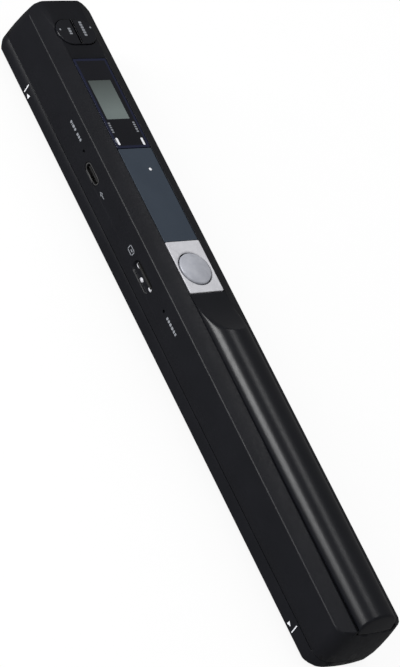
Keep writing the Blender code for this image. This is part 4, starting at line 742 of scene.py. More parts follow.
def superellipse(half_length: float, half_width: float, power: float, count: int) -> np.ndarray:
    """Rounded oblong outline.

    Its points are (a |cos t|^(2/n) sign cos t, b |sin t|^(2/n) sign sin t) for t round the circle.

    Args:
        half_length: Reach a along the first axis.
        half_width: Reach b along the second axis.
        power: Exponent n, 2 for an ellipse and more for squarer corners.
        count: Number of points.

    Returns:
        Points of the outline.
    """
    turn = np.linspace(0, 2 * math.pi, count, endpoint=False)
    cos, sin = np.cos(turn), np.sin(turn)
    across = half_length * np.sign(cos) * np.abs(cos) ** (2 / power)
    up = half_width * np.sign(sin) * np.abs(sin) ** (2 / power)
    return np.stack((across, up), axis=-1)


def rounded_oblong(half_length: float, half_width: float, radius: float, steps: int = 6) -> np.ndarray:
    """Oblong outline with round corners: a quarter circle about each corner's centre in turn.

    Args:
        half_length: Reach along the first axis.
        half_width: Reach along the second axis.
        radius: Corner radius.
        steps: Parts of a quarter circle.

    Returns:
        Points of the outline.
    """
    quarter = np.linspace(0, math.pi / 2, steps + 1)
    starts = np.arange(4) * math.pi / 2
    turn = (starts[:, None] + quarter[None]).ravel()
    signs = np.repeat(np.array([(1, 1), (-1, 1), (-1, -1), (1, -1)]), steps + 1, axis=0)
    centre = signs * np.array((half_length - radius, half_width - radius))
    return centre + radius * np.stack((np.cos(turn), np.sin(turn)), axis=-1)


def seen_from(outline: np.ndarray, centre: np.ndarray, turn: np.ndarray) -> np.ndarray:
    """Where rays from a point inside a convex outline meet it.

    Each side, with outward normal n and distance c from the point, lies at r = c / (n . d) in the
    direction d, and the outline is met at the least such r above 0.

    Args:
        outline: Points of the outline, anticlockwise.
        centre: Point the rays start from.
        turn: Angles of the rays.

    Returns:
        One point for each ray.
    """
    start = outline - centre
    along = np.roll(start, -1, axis=0) - start
    normal = np.stack((along[:, 1], -along[:, 0]), axis=-1)
    direction = np.stack((np.cos(turn), np.sin(turn)), axis=-1)
    facing = direction @ normal.T
    reach = np.where(facing > 1e-12, (start * normal).sum(axis=1)[None] / np.maximum(facing, 1e-12), np.inf)
    return centre + direction * reach.min(axis=1)[:, None]


def inwards(outline: np.ndarray) -> np.ndarray:
    """Unit directions that point into a closed outline drawn anticlockwise.

    Each is the chord between a point's neighbours, turned a quarter circle to the left.

    Args:
        outline: Points of the outline.

    Returns:
        One direction for each point.
    """
    chord = np.roll(outline, -1, axis=0) - np.roll(outline, 1, axis=0)
    chord /= np.linalg.norm(chord, axis=1, keepdims=True)
    return np.stack((-chord[:, 1], chord[:, 0]), axis=-1)


def edge_roll(low: float, high: float, radius: float, steps: int = 4) -> np.ndarray:
    """Side view of a slab with a rounded upper edge: (inset, height) pairs.

    They start at the bottom, and then follow a quarter circle, inset r (1 - cos t), height
    high - r + r sin t.

    Args:
        low: Height of the bottom.
        high: Height of the top.
        radius: Radius of the edge.
        steps: Parts of the quarter circle.

    Returns:
        Pairs of inset and height.
    """
    turn = np.linspace(0, math.pi / 2, steps + 1)
    roll = np.stack((radius * (1 - np.cos(turn)), high - radius + radius * np.sin(turn)), axis=-1)
    return np.vstack(((0, low), roll))


def carried(outline: np.ndarray, profile: np.ndarray, centre: tuple[float, float]) -> np.ndarray:
    """Rings of a side view carried round an outline.

    Ring k is the outline moved in by the k-th inset, at the k-th height.

    Args:
        outline: Points of the outline in x and y.
        profile: Pairs of inset and height.
        centre: Where the outline's origin lies.

    Returns:
        Rings of points.
    """
    flat = outline[None] + inwards(outline)[None] * profile[:, 0, None, None] + np.array(centre)
    height = np.broadcast_to(profile[:, 1, None, None], (*flat.shape[:2], 1))
    return np.concatenate((flat, height), axis=-1)


def turned(profile: np.ndarray, centre: tuple[float, float, float], axis: int, count: int = 64) -> np.ndarray:
    """Rings of a profile turned about an axis.

    A pair (radius r, distance d) gives the circle of radius r about the axis, d along it.

    Args:
        profile: Pairs of radius and distance.
        centre: Point on the axis that distances start from.
        axis: Number of the axis.
        count: Points round the circle.

    Returns:
        Rings of points.
    """
    turn = np.linspace(0, 2 * math.pi, count, endpoint=False)
    rings = np.empty((len(profile), count, 3))
    rings[..., axis] = profile[:, 1, None]
    rings[..., (axis + 1) % 3] = profile[:, 0, None] * np.cos(turn)
    rings[..., (axis + 2) % 3] = profile[:, 0, None] * np.sin(turn)
    return rings + np.array(centre)


def merged_copy(node: str, name: str, finish: Finish) -> bpy.types.Object:
    """Copy of a node with its doubled points merged, so that its curved walls shade smoothly.

    Args:
        node: Name of the node.
        name: Name of the new piece.
        finish: Its finish.

    Returns:
        The new object.
    """
    mesh = frame["nodes"][node].data.copy()
    mesh.name = name
    form = bmesh.new()
    form.from_mesh(mesh)
    bmesh.ops.remove_doubles(form, verts=form.verts, dist=WELD_DISTANCE)
    form.to_mesh(mesh)
    form.free()
    return finished(mesh, finish)


def place(piece: bpy.types.Object, body: Body, slot: Slot, *nodes: str) -> bpy.types.Object:
    """Lets a finished piece ride on its body and hides the nodes it stands for.

    Args:
        piece: The piece.
        body: Body it rides on.
        slot: Slot of the record that it takes its finish from; not used.
        *nodes: Nodes that it stands for.

    Returns:
        The same piece.
    """
    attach(piece, body.value)
    if nodes:
        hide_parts(*nodes)
    LOG.info("%s: %d points on %s", piece.name, len(piece.data.vertices), body.value)
    return piece


@dataclass
class PrintedMarks:
    """Flat marks of ink on one face, each a thin slab under an outline of twelve points."""

    name: str
    face: Face
    level: float
    body: Body
    finish: Finish
    outlines: list[np.ndarray] = field(default_factory=list)
    thickness: float = 0.00003
    sink: float = 0.00002
    round_share: float = 0.3

    def bar(self, middle: tuple[float, float], long: float, wide: float, turn: float = 0.0) -> "PrintedMarks":
        """Adds a bar with round corners.

        Args:
            middle: Its middle in the face.
            long: Its length.
            wide: Its width.
            turn: Angle of its length from the face's first axis.

        Returns:
            These marks.
        """
        outline = rounded_oblong(long / 2, wide / 2, min(long, wide) * self.round_share, 2)
        spin = np.array(((math.cos(turn), math.sin(turn)), (-math.sin(turn), math.cos(turn))))
        self.outlines.append(outline @ spin + np.array(middle))
        return self

    def row(
        self, start: tuple[float, float], widths: tuple[float, ...], tall: float, gap: float
    ) -> "PrintedMarks":
        """Adds a row of upright bars.

        Args:
            start: Near side of the first bar, and the height of their middles.
            widths: Width of each bar; a negative one is a space.
            tall: Height of the bars.
            gap: Space between neighbours.

        Returns:
            These marks.
        """
        along, up = start
        for width in widths:
            if width > 0:
                self.bar((along + width / 2, up), width, tall)
            along += abs(width) + gap
        return self

    def arrow(self, tip: tuple[float, float], reach: float, half: float) -> "PrintedMarks":
        """Adds a triangle.

        Its twelve points are four on each side, a quarter of the side apart.

        Args:
            tip: Its point.
            reach: How far its base lies along the face's first axis from the tip.
            half: Half the length of its base.

        Returns:
            These marks.
        """
        corners = np.array(tip) + np.array(((0, 0), (reach, half), (reach, -half)))
        if reach > 0:
            corners = corners[::-1]
        steps = np.linspace(0, 1, 4, endpoint=False)[None, :, None]
        sides = corners[:, None] * (1 - steps) + np.roll(corners, -1, axis=0)[:, None] * steps
        self.outlines.append(sides.reshape(-1, 2))
        return self

    def frame(self, middle: tuple[float, float], long: float, wide: float, line: float) -> "PrintedMarks":
        """Adds an oblong drawn with four lines.

        Args:
            middle: Its middle.
            long: Its length.
            wide: Its width.
            line: Width of the lines.

        Returns:
            These marks.
        """
        across, up = middle
        for side in (-1, 1):
            self.bar((across, up + side * (wide - line) / 2), long, line)
            self.bar((across + side * (long - line) / 2, up), line, wide)
        return self

    def build(self) -> bpy.types.Object:
        """Makes every outline a slab in the face, all as one piece, and places it."""
        axes = np.array(self.face.value, dtype=float)
        levels = np.array((self.level - self.sink, self.level + self.thickness))
        surfaces = np.array(self.outlines) @ axes[:2]
        solids = surfaces[:, None] + levels[None, :, None, None] * axes[2]
        return place(joined_surfaces(self.name, solids, self.finish), self.body, Slot.WHITE_PLASTIC)


@dataclass
class PhotoCamera:
    """Camera at the photograph's viewing angle: its place, its right and up directions, and its lens."""

    location: tuple[float, float, float] = (0.42125, -0.7177723, 0.7243304)
    right: tuple[float, float, float] = (0.41513883, 0.7504886, 0.51422429)
    up: tuple[float, float, float] = (-0.82637222, 0.0746774, 0.55815073)
    lens: float = 291.5
    sensor: float = 36.0
    reach: float = 10.0

    def build(self) -> None:
        """Makes the camera and hands it to the scene."""
        data = bpy.data.cameras.new("camera")
        data.sensor_fit = "HORIZONTAL"
        data.sensor_width = self.sensor
        data.lens = self.lens
        data.clip_end = self.reach
        camera = bpy.data.objects.new("camera", data)
        bpy.context.scene.collection.objects.link(camera)
        right = Vector(self.right)
        up = Vector(self.up)
        turn = Matrix((right, up, right.cross(up))).transposed().to_4x4()
        camera.matrix_world = Matrix.Translation(self.location) @ turn
        bpy.context.scene.camera = camera


@dataclass
class Studio:
    """Pale floor, soft lamps and a white surround."""

    floor_half: float = 4.0
    floor_white: float = 0.86
    floor_spread: float = 0.01
    floor_grain: float = 40.0
    shade_share: float = 0.12
    gloss_share: float = 0.14
    surround: float = 0.86
    lamps: tuple[tuple[tuple[float, float, float], float, float, float], ...] = (
        ((-0.36, -0.8, 0.36), 6.4, 0.2, 0.6),
        ((-0.36, 0.156, 1.13), 1.3, 0.3, 0.3),
    )

    def build(self) -> None:
        """Makes the floor, the lamps and the surround, and sets the plain view."""
        self.floor()
        for number, (location, energy, wide, tall) in enumerate(self.lamps):
            self.lamp(f"lamp_{number}", location, energy, wide, tall)
        self.world()
        bpy.context.scene.view_settings.view_transform = "Standard"

    def floor(self) -> None:
        """White floor with a soft shadow, which glows for the camera and glass, and dimly for gloss."""
        half = self.floor_half
        corners = np.array(((-half, -half, 0), (half, -half, 0), (half, half, 0), (-half, half, 0)))
        mesh = bpy.data.meshes.new("floor")
        mesh.from_pydata(corners.tolist(), [], [(0, 1, 2, 3)])
        graph = NodeGraph(bpy.data.materials.new("floor white"))
        low, high = self.floor_white - self.floor_spread, self.floor_white + self.floor_spread
        speckle = graph.spread(graph.noise(graph.places(), self.floor_grain), low, high)
        colour = graph.add("ShaderNodeCombineColor", {0: speckle, 1: speckle, 2: speckle})
        graph.feed(graph.shader, "Base Color", colour.outputs[0])
        graph.feed(graph.shader, "Roughness", 0.9)
        graph.feed(graph.shader, "Specular IOR Level", 0.0)
        seen, gloss = self.rays(graph)
        glow = graph.add("ShaderNodeEmission", {"Strength": self.white(graph, seen, gloss)})
        share = graph.maths("MAXIMUM", graph.maths("MULTIPLY", seen, 1 - self.shade_share), gloss)
        mixed = graph.add("ShaderNodeMixShader", {0: share, 1: graph.shader.outputs[0], 2: glow.outputs[0]})
        output = graph.tree.nodes["Material Output"]
        graph.feed(output, "Surface", mixed.outputs[0])
        mesh.materials.append(graph.owner)
        floor = bpy.data.objects.new("floor", mesh)
        bpy.context.scene.collection.objects.link(floor)

    @staticmethod
    def rays(graph: NodeGraph) -> tuple[bpy.types.NodeSocket, bpy.types.NodeSocket]:
        """Two sockets: 1 for rays from the camera or through glass, and 1 for rays off gloss."""
        path = graph.add("ShaderNodeLightPath").outputs
        seen = graph.maths("MAXIMUM", path["Is Camera Ray"], path["Is Transmission Ray"])
        return seen, path["Is Glossy Ray"]

    def white(
        self, graph: NodeGraph, seen: bpy.types.NodeSocket, gloss: bpy.types.NodeSocket
    ) -> bpy.types.NodeSocket:
        """Strength of the white: full for the camera, and a share of it for gloss.

        Args:
            graph: Nodes of the floor or the world.
            seen: 1 for rays from the camera or through glass.
            gloss: 1 for rays off gloss.

        Returns:
            Socket of the strength.
        """
        return graph.maths("MAXIMUM", seen, graph.maths("MULTIPLY", gloss, self.gloss_share))

    def lamp(self, name: str, location: tuple, energy: float, wide: float, tall: float) -> None:
        """Makes one oblong lamp that faces the object.

        Args:
            name: Name of the lamp.
            location: Where it hangs.
            energy: Its power in watts.
            wide: Its width.
            tall: Its height.
        """
        data = bpy.data.lights.new(name, "AREA")
        data.shape = "RECTANGLE"
        data.size = wide
        data.size_y = tall
        data.energy = energy
        lamp = bpy.data.objects.new(name, data)
        lamp.location = location
        lamp.rotation_euler = (-Vector(location)).to_track_quat("-Z", "Y").to_euler()
        bpy.context.scene.collection.objects.link(lamp)

    def world(self) -> None:
        """White surround for what is seen directly, and a dimmer one that lights the object."""
        world = bpy.data.worlds.new("surround")
        bpy.context.scene.world = world
        graph = NodeGraph(world)
        graph.feed(graph.shader, "Color", (1, 1, 1, 1))
        seen, gloss = self.rays(graph)
        other = graph.maths("SUBTRACT", 1.0, graph.maths("MAXIMUM", seen, gloss))
        dim = graph.maths("MULTIPLY", other, self.surround)
        graph.feed(graph.shader, "Strength", graph.maths("MAXIMUM", self.white(graph, seen, gloss), dim))


@dataclass
class Housing:
    """Both halves of the case, with the marks printed on its wall and on the strip below the seam."""

    wall: float = 0.014
    bar_tall: float = 0.0011
    bar_gap: float = 0.0003
    line: float = 0.00035
    row_height: float = 0.0168
    pin_row_height: float = 0.0158
    icon_height: float = 0.0149
    head_bars: tuple[float, ...] = (0.0009, 0.0003, 0.0012, 0.0009, -0.0006, 0.001, 0.0008, 0.0009)
    tail_bars: tuple[float, ...] = (0.0009, 0.0009, 0.0011, 0.0012, 0.0009, 0.0008)
    strip_height: float = 0.0043
    strip_tall: float = 0.0036
    strip_line: float = 0.0004
    strip_lean: float = 0.12
    arrow_height: float = 0.0033
    arrow_half: float = 0.0008
    arrow_reach: float = 0.0017

    def build(self) -> None:
        """Makes both halves and all their marks."""
        finish = FINISHES[Slot.BLACK_CASE]
        place(merged_copy("upper_shell", "case_top", finish), Body.CASE, Slot.BLACK_CASE, "upper_shell")
        place(merged_copy("lower_shell", "case_base", finish), Body.CASE, Slot.BLACK_CASE, "lower_shell")
        self.wall_marks()
        self.strip_marks()

    def wall_marks(self) -> None:
        """Bars beside the small holes, an arrow at the socket and a card outline at the notch."""
        marks = PrintedMarks("wall_marks", Face.WALL, self.wall, Body.CASE, GREY_INK)
        time_hole = boxed("time_plunger")[0].x
        marks.row((time_hole - 0.0115, self.row_height), self.head_bars, self.bar_tall, self.bar_gap)
        format_hole = boxed("format_plunger")[1].x
        marks.row((format_hole + 0.0018, self.pin_row_height), self.tail_bars, self.bar_tall, self.bar_gap)
        socket_end = boxed("usb_socket")[1].x
        marks.bar((socket_end + 0.0047, self.icon_height - 0.0008), 0.0026, self.line)
        marks.arrow((socket_end + 0.0028, self.icon_height - 0.0008), 0.0015, 0.0008)
        notch = boxed("card_socket")
        card = ((notch[0].x + notch[1].x) / 2 - 0.0104, self.icon_height)
        marks.frame(card, 0.0034, 0.0024, self.line)
        marks.bar((card[0] + 0.0003, card[1] + 0.0001), 0.0012, self.line * 1.6)
        marks.build()

    def strip_marks(self) -> None:
        """A line and an arrow near each end, which show how wide a page the sensor reads."""
        marks = PrintedMarks("strip_marks", Face.WALL, self.wall, Body.CASE, WHITE_INK)
        head_x, tail_x = -0.1051, 0.1143
        for side, place_x in ((-1, head_x), (1, tail_x)):
            turn = math.pi / 2 + self.strip_lean
            marks.bar((place_x, self.strip_height), self.strip_tall, self.strip_line, turn)
            tip = (place_x - side * 0.0016, self.arrow_height)
            marks.arrow(tip, -side * self.arrow_reach, self.arrow_half)
        marks.build()


@dataclass
class BatteryCover:
    """Hump with its thumb ramp, as one skin with a wall."""

    arch_reach: float = 0.00772
    rise: float = 0.0056
    deck: float = 0.0244
    skirt: float = 0.00185
    ramp_radius: float = 0.034
    crease_limit: float = math.radians(80)
    crease_round: float = 0.0004
    wall: float = 0.0011
    edge_radius: float = 0.0007
    bow_radius: float = 0.075
    crown_radius: float = 0.085
    seam: float = 0.0071
    arch_columns: int = 26
    ramp_columns: int = 20
    ramp_rows: int = 40
    hump_rows: int = 30
    edge_rows: int = 6
    end_rows: int = 8

    def ramp(self, along: np.ndarray, front: float) -> np.ndarray:
        """Height of the ramp: a circle that leaves the deck level and rises to the hump's top.

        z = deck + r - sqrt(r^2 - (x - front)^2), at most deck + rise.

        Args:
            along: Places along X.
            front: Where the ramp starts.

        Returns:
            Heights.
        """
        run = np.clip(along - front, 0, self.ramp_radius)
        height = self.ramp_radius - np.sqrt(self.ramp_radius**2 - run**2)
        return self.deck + np.minimum(height, self.rise)

    def section(self, height: np.ndarray) -> np.ndarray:
        """Sections of the hump cut off at a height, from one skirt over the top to the other.

        Each goes up the skirt, along the ellipse (reach cos t, rise sin t) up to the crease, straight
        across at the ramp's height, and down the other side. The crease is where the ellipse reaches
        the ramp: t = arcsin((height - deck) / rise).

        Args:
            height: Height of the ramp for each section.

        Returns:
            Points in y and z, sections by points.
        """
        share = np.clip((height - self.deck) / self.rise, 0, math.sin(self.crease_limit))
        crease = np.arcsin(share)
        turn = crease[:, None] * np.linspace(0, 1, self.arch_columns)[None]
        side = np.stack((-self.arch_reach * np.cos(turn), self.deck + self.rise * np.sin(turn)), axis=-1)
        skirt_height = np.linspace(self.deck - self.skirt, self.deck, 4)[:-1]
        skirt = np.stack((np.full(3, -self.arch_reach), skirt_height), axis=-1)
        skirt = np.broadcast_to(skirt, (len(height), 3, 2))
        reach = (self.arch_reach * np.cos(crease))[:, None]
        across = np.linspace(-1, 1, self.ramp_columns)[None, 1:-1] * reach
        arch = self.deck + self.rise * np.sqrt(1 - (across / self.arch_reach) ** 2)
        middle = np.stack((across, self.soft_least(arch, height[:, None])), axis=-1)
        side[..., 1] = self.soft_least(side[..., 1], height[:, None])
        flip = np.array((-1, 1))
        return np.concatenate((skirt, side, middle, side[:, ::-1] * flip, skirt[:, ::-1] * flip), axis=1)

    def soft_least(self, arch: np.ndarray, height: np.ndarray) -> np.ndarray:
        """The lower of arch and ramp, with the crease between them rounded.

        z = min(a, h) - k log(1 + exp(-|a - h| / k)), where k grows from nothing with the ramp and is 0
        again at the top of the hump.

        Args:
            arch: Heights of the arch.
            height: Heights of the ramp.

        Returns:
            Heights of the skin.
        """
        climbed = (height - self.deck) / self.rise
        soft = self.crease_round * np.clip(climbed * 6, 0, 1) * np.clip((1 - climbed) * 3, 0, 1) + 1e-9
        drop = soft * np.log1p(np.exp(-np.abs(arch - height) / soft))
        return np.minimum(arch, height) - drop * np.clip((arch - self.deck) / self.rise * 8, 0, 1)

    def end_place(self, section: np.ndarray, end: float) -> np.ndarray:
        """Where the tail's end face lies: bowed across and crowned upwards.

        x = end - (b - sqrt(b^2 - y^2)) - (c - sqrt(c^2 - (z - seam)^2)).

        Args:
            section: Points in y and z.
            end: Furthest reach of the case.

        Returns:
            Places along X.
        """
        bow = self.bow_radius - np.sqrt(self.bow_radius**2 - section[..., 0] ** 2)
        crown = self.crown_radius - np.sqrt(self.crown_radius**2 - (section[..., 1] - self.seam) ** 2)
        return end - bow - crown

    def rows(self, front: float, end: float) -> np.ndarray:
        """All rows of the skin: the ramp, the hump, the rolled edge and the end face.

        Args:
            front: Where the ramp starts.
            end: Furthest reach of the case.

        Returns:
            Points, rows by points by coordinates.
        """
        run = math.sqrt(self.ramp_radius**2 - (self.ramp_radius - self.rise) ** 2)
        share = np.concatenate((np.linspace(0, 1, self.ramp_rows), np.ones(self.hump_rows)))
        section = self.section(self.ramp(front + share * run, front))
        near_end = self.end_place(section, end) - self.edge_radius
        along = np.full(section.shape[:2], front) + share[:, None] * run
        step = np.linspace(0, 1, self.hump_rows + 1)[1:, None]
        along[self.ramp_rows :] = (front + run) * (1 - step) + near_end[self.ramp_rows :] * step
        full = section[-1]
        middle = np.array((0, self.deck - self.skirt))
        turn = np.linspace(0, math.pi / 2, self.edge_rows + 1)[1:]
        inset = self.edge_radius * (1 - np.cos(turn)) / self.arch_reach
        shrink = np.concatenate((1 - inset, (1 - inset[-1]) * np.linspace(1, 0, self.end_rows + 1)[1:]))
        closing = middle + (full - middle) * shrink[:, None, None]
        lift = np.concatenate((self.edge_radius * (np.sin(turn) - 1), np.zeros(self.end_rows)))
        closing_along = self.end_place(closing, end) + lift[:, None]
        flat = np.concatenate((section, closing))
        return np.concatenate((np.concatenate((along, closing_along))[..., None], flat), axis=-1)

    def build(self) -> None:
        """Makes the skin, gives it its wall and places it."""
        front = boxed("battery_cover")[0].x
        rows = self.rows(front, CAD_BOX[1][0])
        count, places = rows.shape[:2]
        row, column = np.meshgrid(np.arange(count - 1), np.arange(places - 1), indexing="ij")
        corner = row * places + column
        faces = np.stack((corner, corner + 1, corner + places + 1, corner + places), axis=-1).reshape(-1, 4)
        mesh = bpy.data.meshes.new("cover_hump")
        mesh.from_pydata(rows.reshape(-1, 3).tolist(), [], faces.tolist())
        form = bmesh.new()
        form.from_mesh(mesh)
        bmesh.ops.remove_doubles(form, verts=form.verts, dist=WELD_DISTANCE * 10)
        form.to_mesh(mesh)
        form.free()
        piece = finished(mesh, FINISHES[Slot.BLACK_COVER])
        if mesh.polygons[len(mesh.polygons) // 2].normal.z < 0:
            mesh.flip_normals()
        wall = piece.modifiers.new("wall", "SOLIDIFY")
        wall.thickness = self.wall
        wall.offset = -1
        piece.modifiers.move(1, 0)
        place(piece, Body.COVER, Slot.BLACK_COVER, "battery_cover")


@dataclass
class DeckPanels:
    """Display window, its display, the label and the silver plate, all let into the deck."""

    corner: float = 0.0004
    edge: float = 0.00012
    display_sink: float = 0.00006
    display_corner: float = 0.00025
    light_radius: float = 0.0006
    light_flange: float = 0.0012
    lens_gap: float = 0.00015
    plate_hole: float = 0.0067
    plate_dish: float = 0.0006
    dish_depth: float = 0.00035
    mark_wide: float = 0.0009
    mark_gap: float = 0.0003
    dash_half: float = 0.0014
    dash_long: float = 0.003
    bars: tuple[float, ...] = (0.0006, 0.0007, 0.0005, 0.0008, 0.0006)
    bars_start: float = 0.0014
    columns: tuple[tuple[float, float], ...] = ((-0.0057, 0.00805), (0.0053, 0.0084))
    rays: int = 72
    ray_digits: int = 4

    def holed(
        self, name: str, node: str, hole: np.ndarray, hole_side: np.ndarray, finish: Finish
    ) -> bpy.types.Object:
        """Slab with a rolled edge round the outside and a hole.

        Both outlines take their points on the same rays from the hole's middle. The rings go up the
        outside, over the top and down the hole's side, and the last joins the first.

        Args:
            name: Name of the piece.
            node: Node whose place it takes.
            hole: Outline of the hole, anticlockwise.
            hole_side: Pairs of inset from the hole's outline, outwards, and height.
            finish: Its finish.

        Returns:
            The new object.
        """
        low, high = boxed(node)
        middle = np.array(((low.x + high.x) / 2, (low.y + high.y) / 2))
        outline = rounded_oblong((high.x - low.x) / 2, (high.y - low.y) / 2, self.corner) + middle
        centre = hole.mean(axis=0)
        corners = np.concatenate((outline, hole)) - centre
        turn = np.arctan2(corners[:, 1], corners[:, 0])
        even = np.linspace(-math.pi, math.pi, self.rays, endpoint=False)
        turn = np.unique(np.round(np.concatenate((turn, even)), self.ray_digits))
        outside = carried(seen_from(outline, centre, turn), edge_roll(low.z, high.z, self.edge), (0, 0))
        inner = seen_from(hole, centre, turn)
        flat = inner[None] - inwards(inner)[None] * hole_side[:, 0, None, None]
        height = np.broadcast_to(hole_side[:, 1, None, None], (*flat.shape[:2], 1))
        inside = np.concatenate((flat, height), axis=-1)
        return ring_surface(name, np.concatenate((outside, inside)), finish, joined=True)

    def window(self) -> None:
        """Window frame round the display, the display itself and the marks beside it."""
        low, high = boxed("display_window")
        left, right = boxed("lcd_panel")
        middle = np.array(((left.x + right.x) / 2, (left.y + right.y) / 2))
        opening = rounded_oblong((right.x - left.x) / 2, (right.y - left.y) / 2, self.display_corner) + middle
        side = np.array(((0.0, high.z), (0.0, low.z)))
        frame_piece = self.holed("window_frame", "display_window", opening, side, FINISHES[Slot.DARK_WINDOW])
        place(frame_piece, Body.CASE, Slot.DARK_WINDOW, "display_window")
        gap = self.edge / 6
        half_length, half_width = (right.x - left.x) / 2 - gap, (right.y - left.y) / 2 - gap
        pane = rounded_oblong(half_length, half_width, self.display_corner)
        rings = carried(pane, edge_roll(low.z, high.z - self.display_sink, self.edge / 4), tuple(middle))
        place(ring_surface("display_pane", rings, FINISHES[Slot.GREY_DISPLAY]), Body.CASE, Slot.GREY_DISPLAY)
        white = PrintedMarks("window_bars", Face.DECK, high.z, Body.CASE, WHITE_INK)
        grey = PrintedMarks("window_marks", Face.DECK, high.z, Body.CASE, GREY_INK)
        for across, start in self.columns:
            white.bar((right.x + start + self.dash_half, across), self.dash_long, self.mark_wide)
            grey.row((right.x + self.bars_start, across), self.bars, self.mark_wide, self.mark_gap)
        grey.bar((right.x + 0.0092, -0.0066), 0.0016, self.mark_gap)
        white.build()
        grey.build()

    def label(self) -> None:
        """Bare label with the hole of the status light."""
        low, high = boxed("light_pipe")
        centre = np.array(((low.x + high.x) / 2, (low.y + high.y) / 2))
        around = self.light_radius + self.lens_gap
        hole = centre + superellipse(around, around, 2.0, 96)
        bottom, top = boxed("label_panel")
        side = np.array(((0.0, top.z), (0.0, bottom.z)))
        piece = self.holed("label_film", "label_panel", hole, side, FINISHES[Slot.SLATE_LABEL])
        place(piece, Body.CASE, Slot.SLATE_LABEL, "label_panel")
        flange_top = low.z + self.light_radius
        profile = np.array(
            (
                (self.light_flange, low.z),
                (self.light_flange, flange_top),
                (self.light_radius, flange_top),
                (self.light_radius, high.z - 0.0001),
                (self.light_radius * 2 / 3, high.z),
                (self.light_radius / 6, high.z + 0.00005),
            )
        )
        rings = turned(profile, (centre[0], centre[1], 0), 2, 32)
        place(ring_surface("light_lens", rings, WHITE_INK), Body.CASE, Slot.CLEAR_PLASTIC, "light_pipe")

    def plate(self) -> None:
        """Silver plate with a dished hole round the button."""
        centre = np.array(BUTTON_CENTRE[:2])
        hole = centre + superellipse(self.plate_hole, self.plate_hole, 2.0, 192)
        bottom, top = boxed("trim_plate")
        side = np.array(
            (
                (self.plate_dish, top.z),
                (self.plate_dish / 2, top.z - self.dish_depth / 3),
                (0.0, top.z - self.dish_depth),
                (0.0, bottom.z),
            )
        )
        piece = self.holed("button_plate", "trim_plate", hole, side, FINISHES[Slot.SATIN_SILVER])
        place(piece, Body.CASE, Slot.SATIN_SILVER, "trim_plate")

    def build(self) -> None:
        """Makes every panel."""
        self.window()
        self.label()
        self.plate()


@dataclass
class ScanButton:
    """Domed button, turned about its own axis."""

    radius: float = 0.0062
    edge: float = 0.0006
    dome: float = 0.0007
    flange: float = 0.0008
    bottom: float = 0.0217
    dome_rings: int = 14
    edge_rings: int = 5

    def profile(self, low: float, high: float) -> np.ndarray:
        """Side view from the flange up: straight side, rolled edge, then the dome.

        The dome falls by dome (r / inner)^2 from its middle.

        Args:
            low: Bottom of the flange.
            high: Top of the dome.

        Returns:
            Pairs of radius and height.
        """
        inner = self.radius - self.edge
        rim = high - self.dome
        turn = np.linspace(0, math.pi / 2, self.edge_rings)
        roll_height = rim - self.edge + self.edge * np.sin(turn)
        roll = np.stack((inner + self.edge * np.cos(turn), roll_height), axis=-1)
        share = np.linspace(1, 0.02, self.dome_rings)[1:]
        dome = np.stack((inner * share, rim + self.dome * (1 - share**2)), axis=-1)
        wide = self.radius + self.flange
        foot = np.array(((wide, low), (wide, low + self.flange), (self.radius, low + self.flange)))
        return np.vstack((foot, roll, dome))

    def build(self) -> None:
        """Makes the button and places it over its node, whose stem it leaves hidden."""
        profile = self.profile(self.bottom, BUTTON_HIGH.z)
        rings = turned(profile, (BUTTON_CENTRE.x, BUTTON_CENTRE.y, 0), 2, 96)
        piece = ring_surface("button_cap", rings, FINISHES[Slot.SILVER_PLASTIC])
        place(piece, Body.SCAN_BUTTON, Slot.SILVER_PLASTIC, "scan_button")


@dataclass
class KeyPair:
    """Two half-round keys with a groove between them, and their marks."""

    half_length: float = 0.0054
    reach: float = 0.0083
    groove: float = 0.00028
    round_share: float = 0.96
    edge: float = 0.00032
    depth: float = 0.0021
    dot: float = 0.0007
    left_bars: tuple[float, ...] = (0.0008, 0.0009, 0.0007)
    right_bars: tuple[float, ...] = (0.0009, 0.0008, 0.001, 0.0009, 0.0008, 0.0009)

    def outline(self, side: int) -> np.ndarray:
        """Half of a rounded oblong: points beyond the groove are drawn back to its edge.

        Args:
            side: -1 for the key nearer the sockets, 1 for the other.

        Returns:
            Points of the outline, anticlockwise.
        """
        whole = rounded_oblong(self.half_length, self.reach, self.half_length * self.round_share, 10)
        across = side * np.maximum(side * whole[:, 1], self.groove)
        return np.stack((whole[:, 0], across), axis=-1)

    def build(self) -> None:
        """Makes both keys and their marks."""
        low, high = boxed("left_key")
        centre = (low.x + high.x) / 2
        top = high.z
        for side, name, body in ((-1, "left", Body.LEFT_KEY), (1, "right", Body.RIGHT_KEY)):
            rings = carried(self.outline(side), edge_roll(top - self.depth, top, self.edge), (centre, 0.0))
            piece = ring_surface(f"{name}_key_cap", rings, KEY_FINISH)
            place(piece, body, Slot.BLACK_COVER, f"{name}_key")
            marks = PrintedMarks(f"{name}_key_marks", Face.DECK, top, body, GREY_INK)
            if side < 0:
                marks.row((centre - 0.0016, -0.0027), self.left_bars, 0.0012, 0.0002)
                marks.bar((centre - 0.001, -0.0067), self.dot, self.dot)
            else:
                marks.row((centre - 0.0043, 0.0035), self.right_bars, 0.0012, 0.0002)
                marks.bar((centre - 0.0016, 0.0071), self.dot, self.dot)
            marks.build()


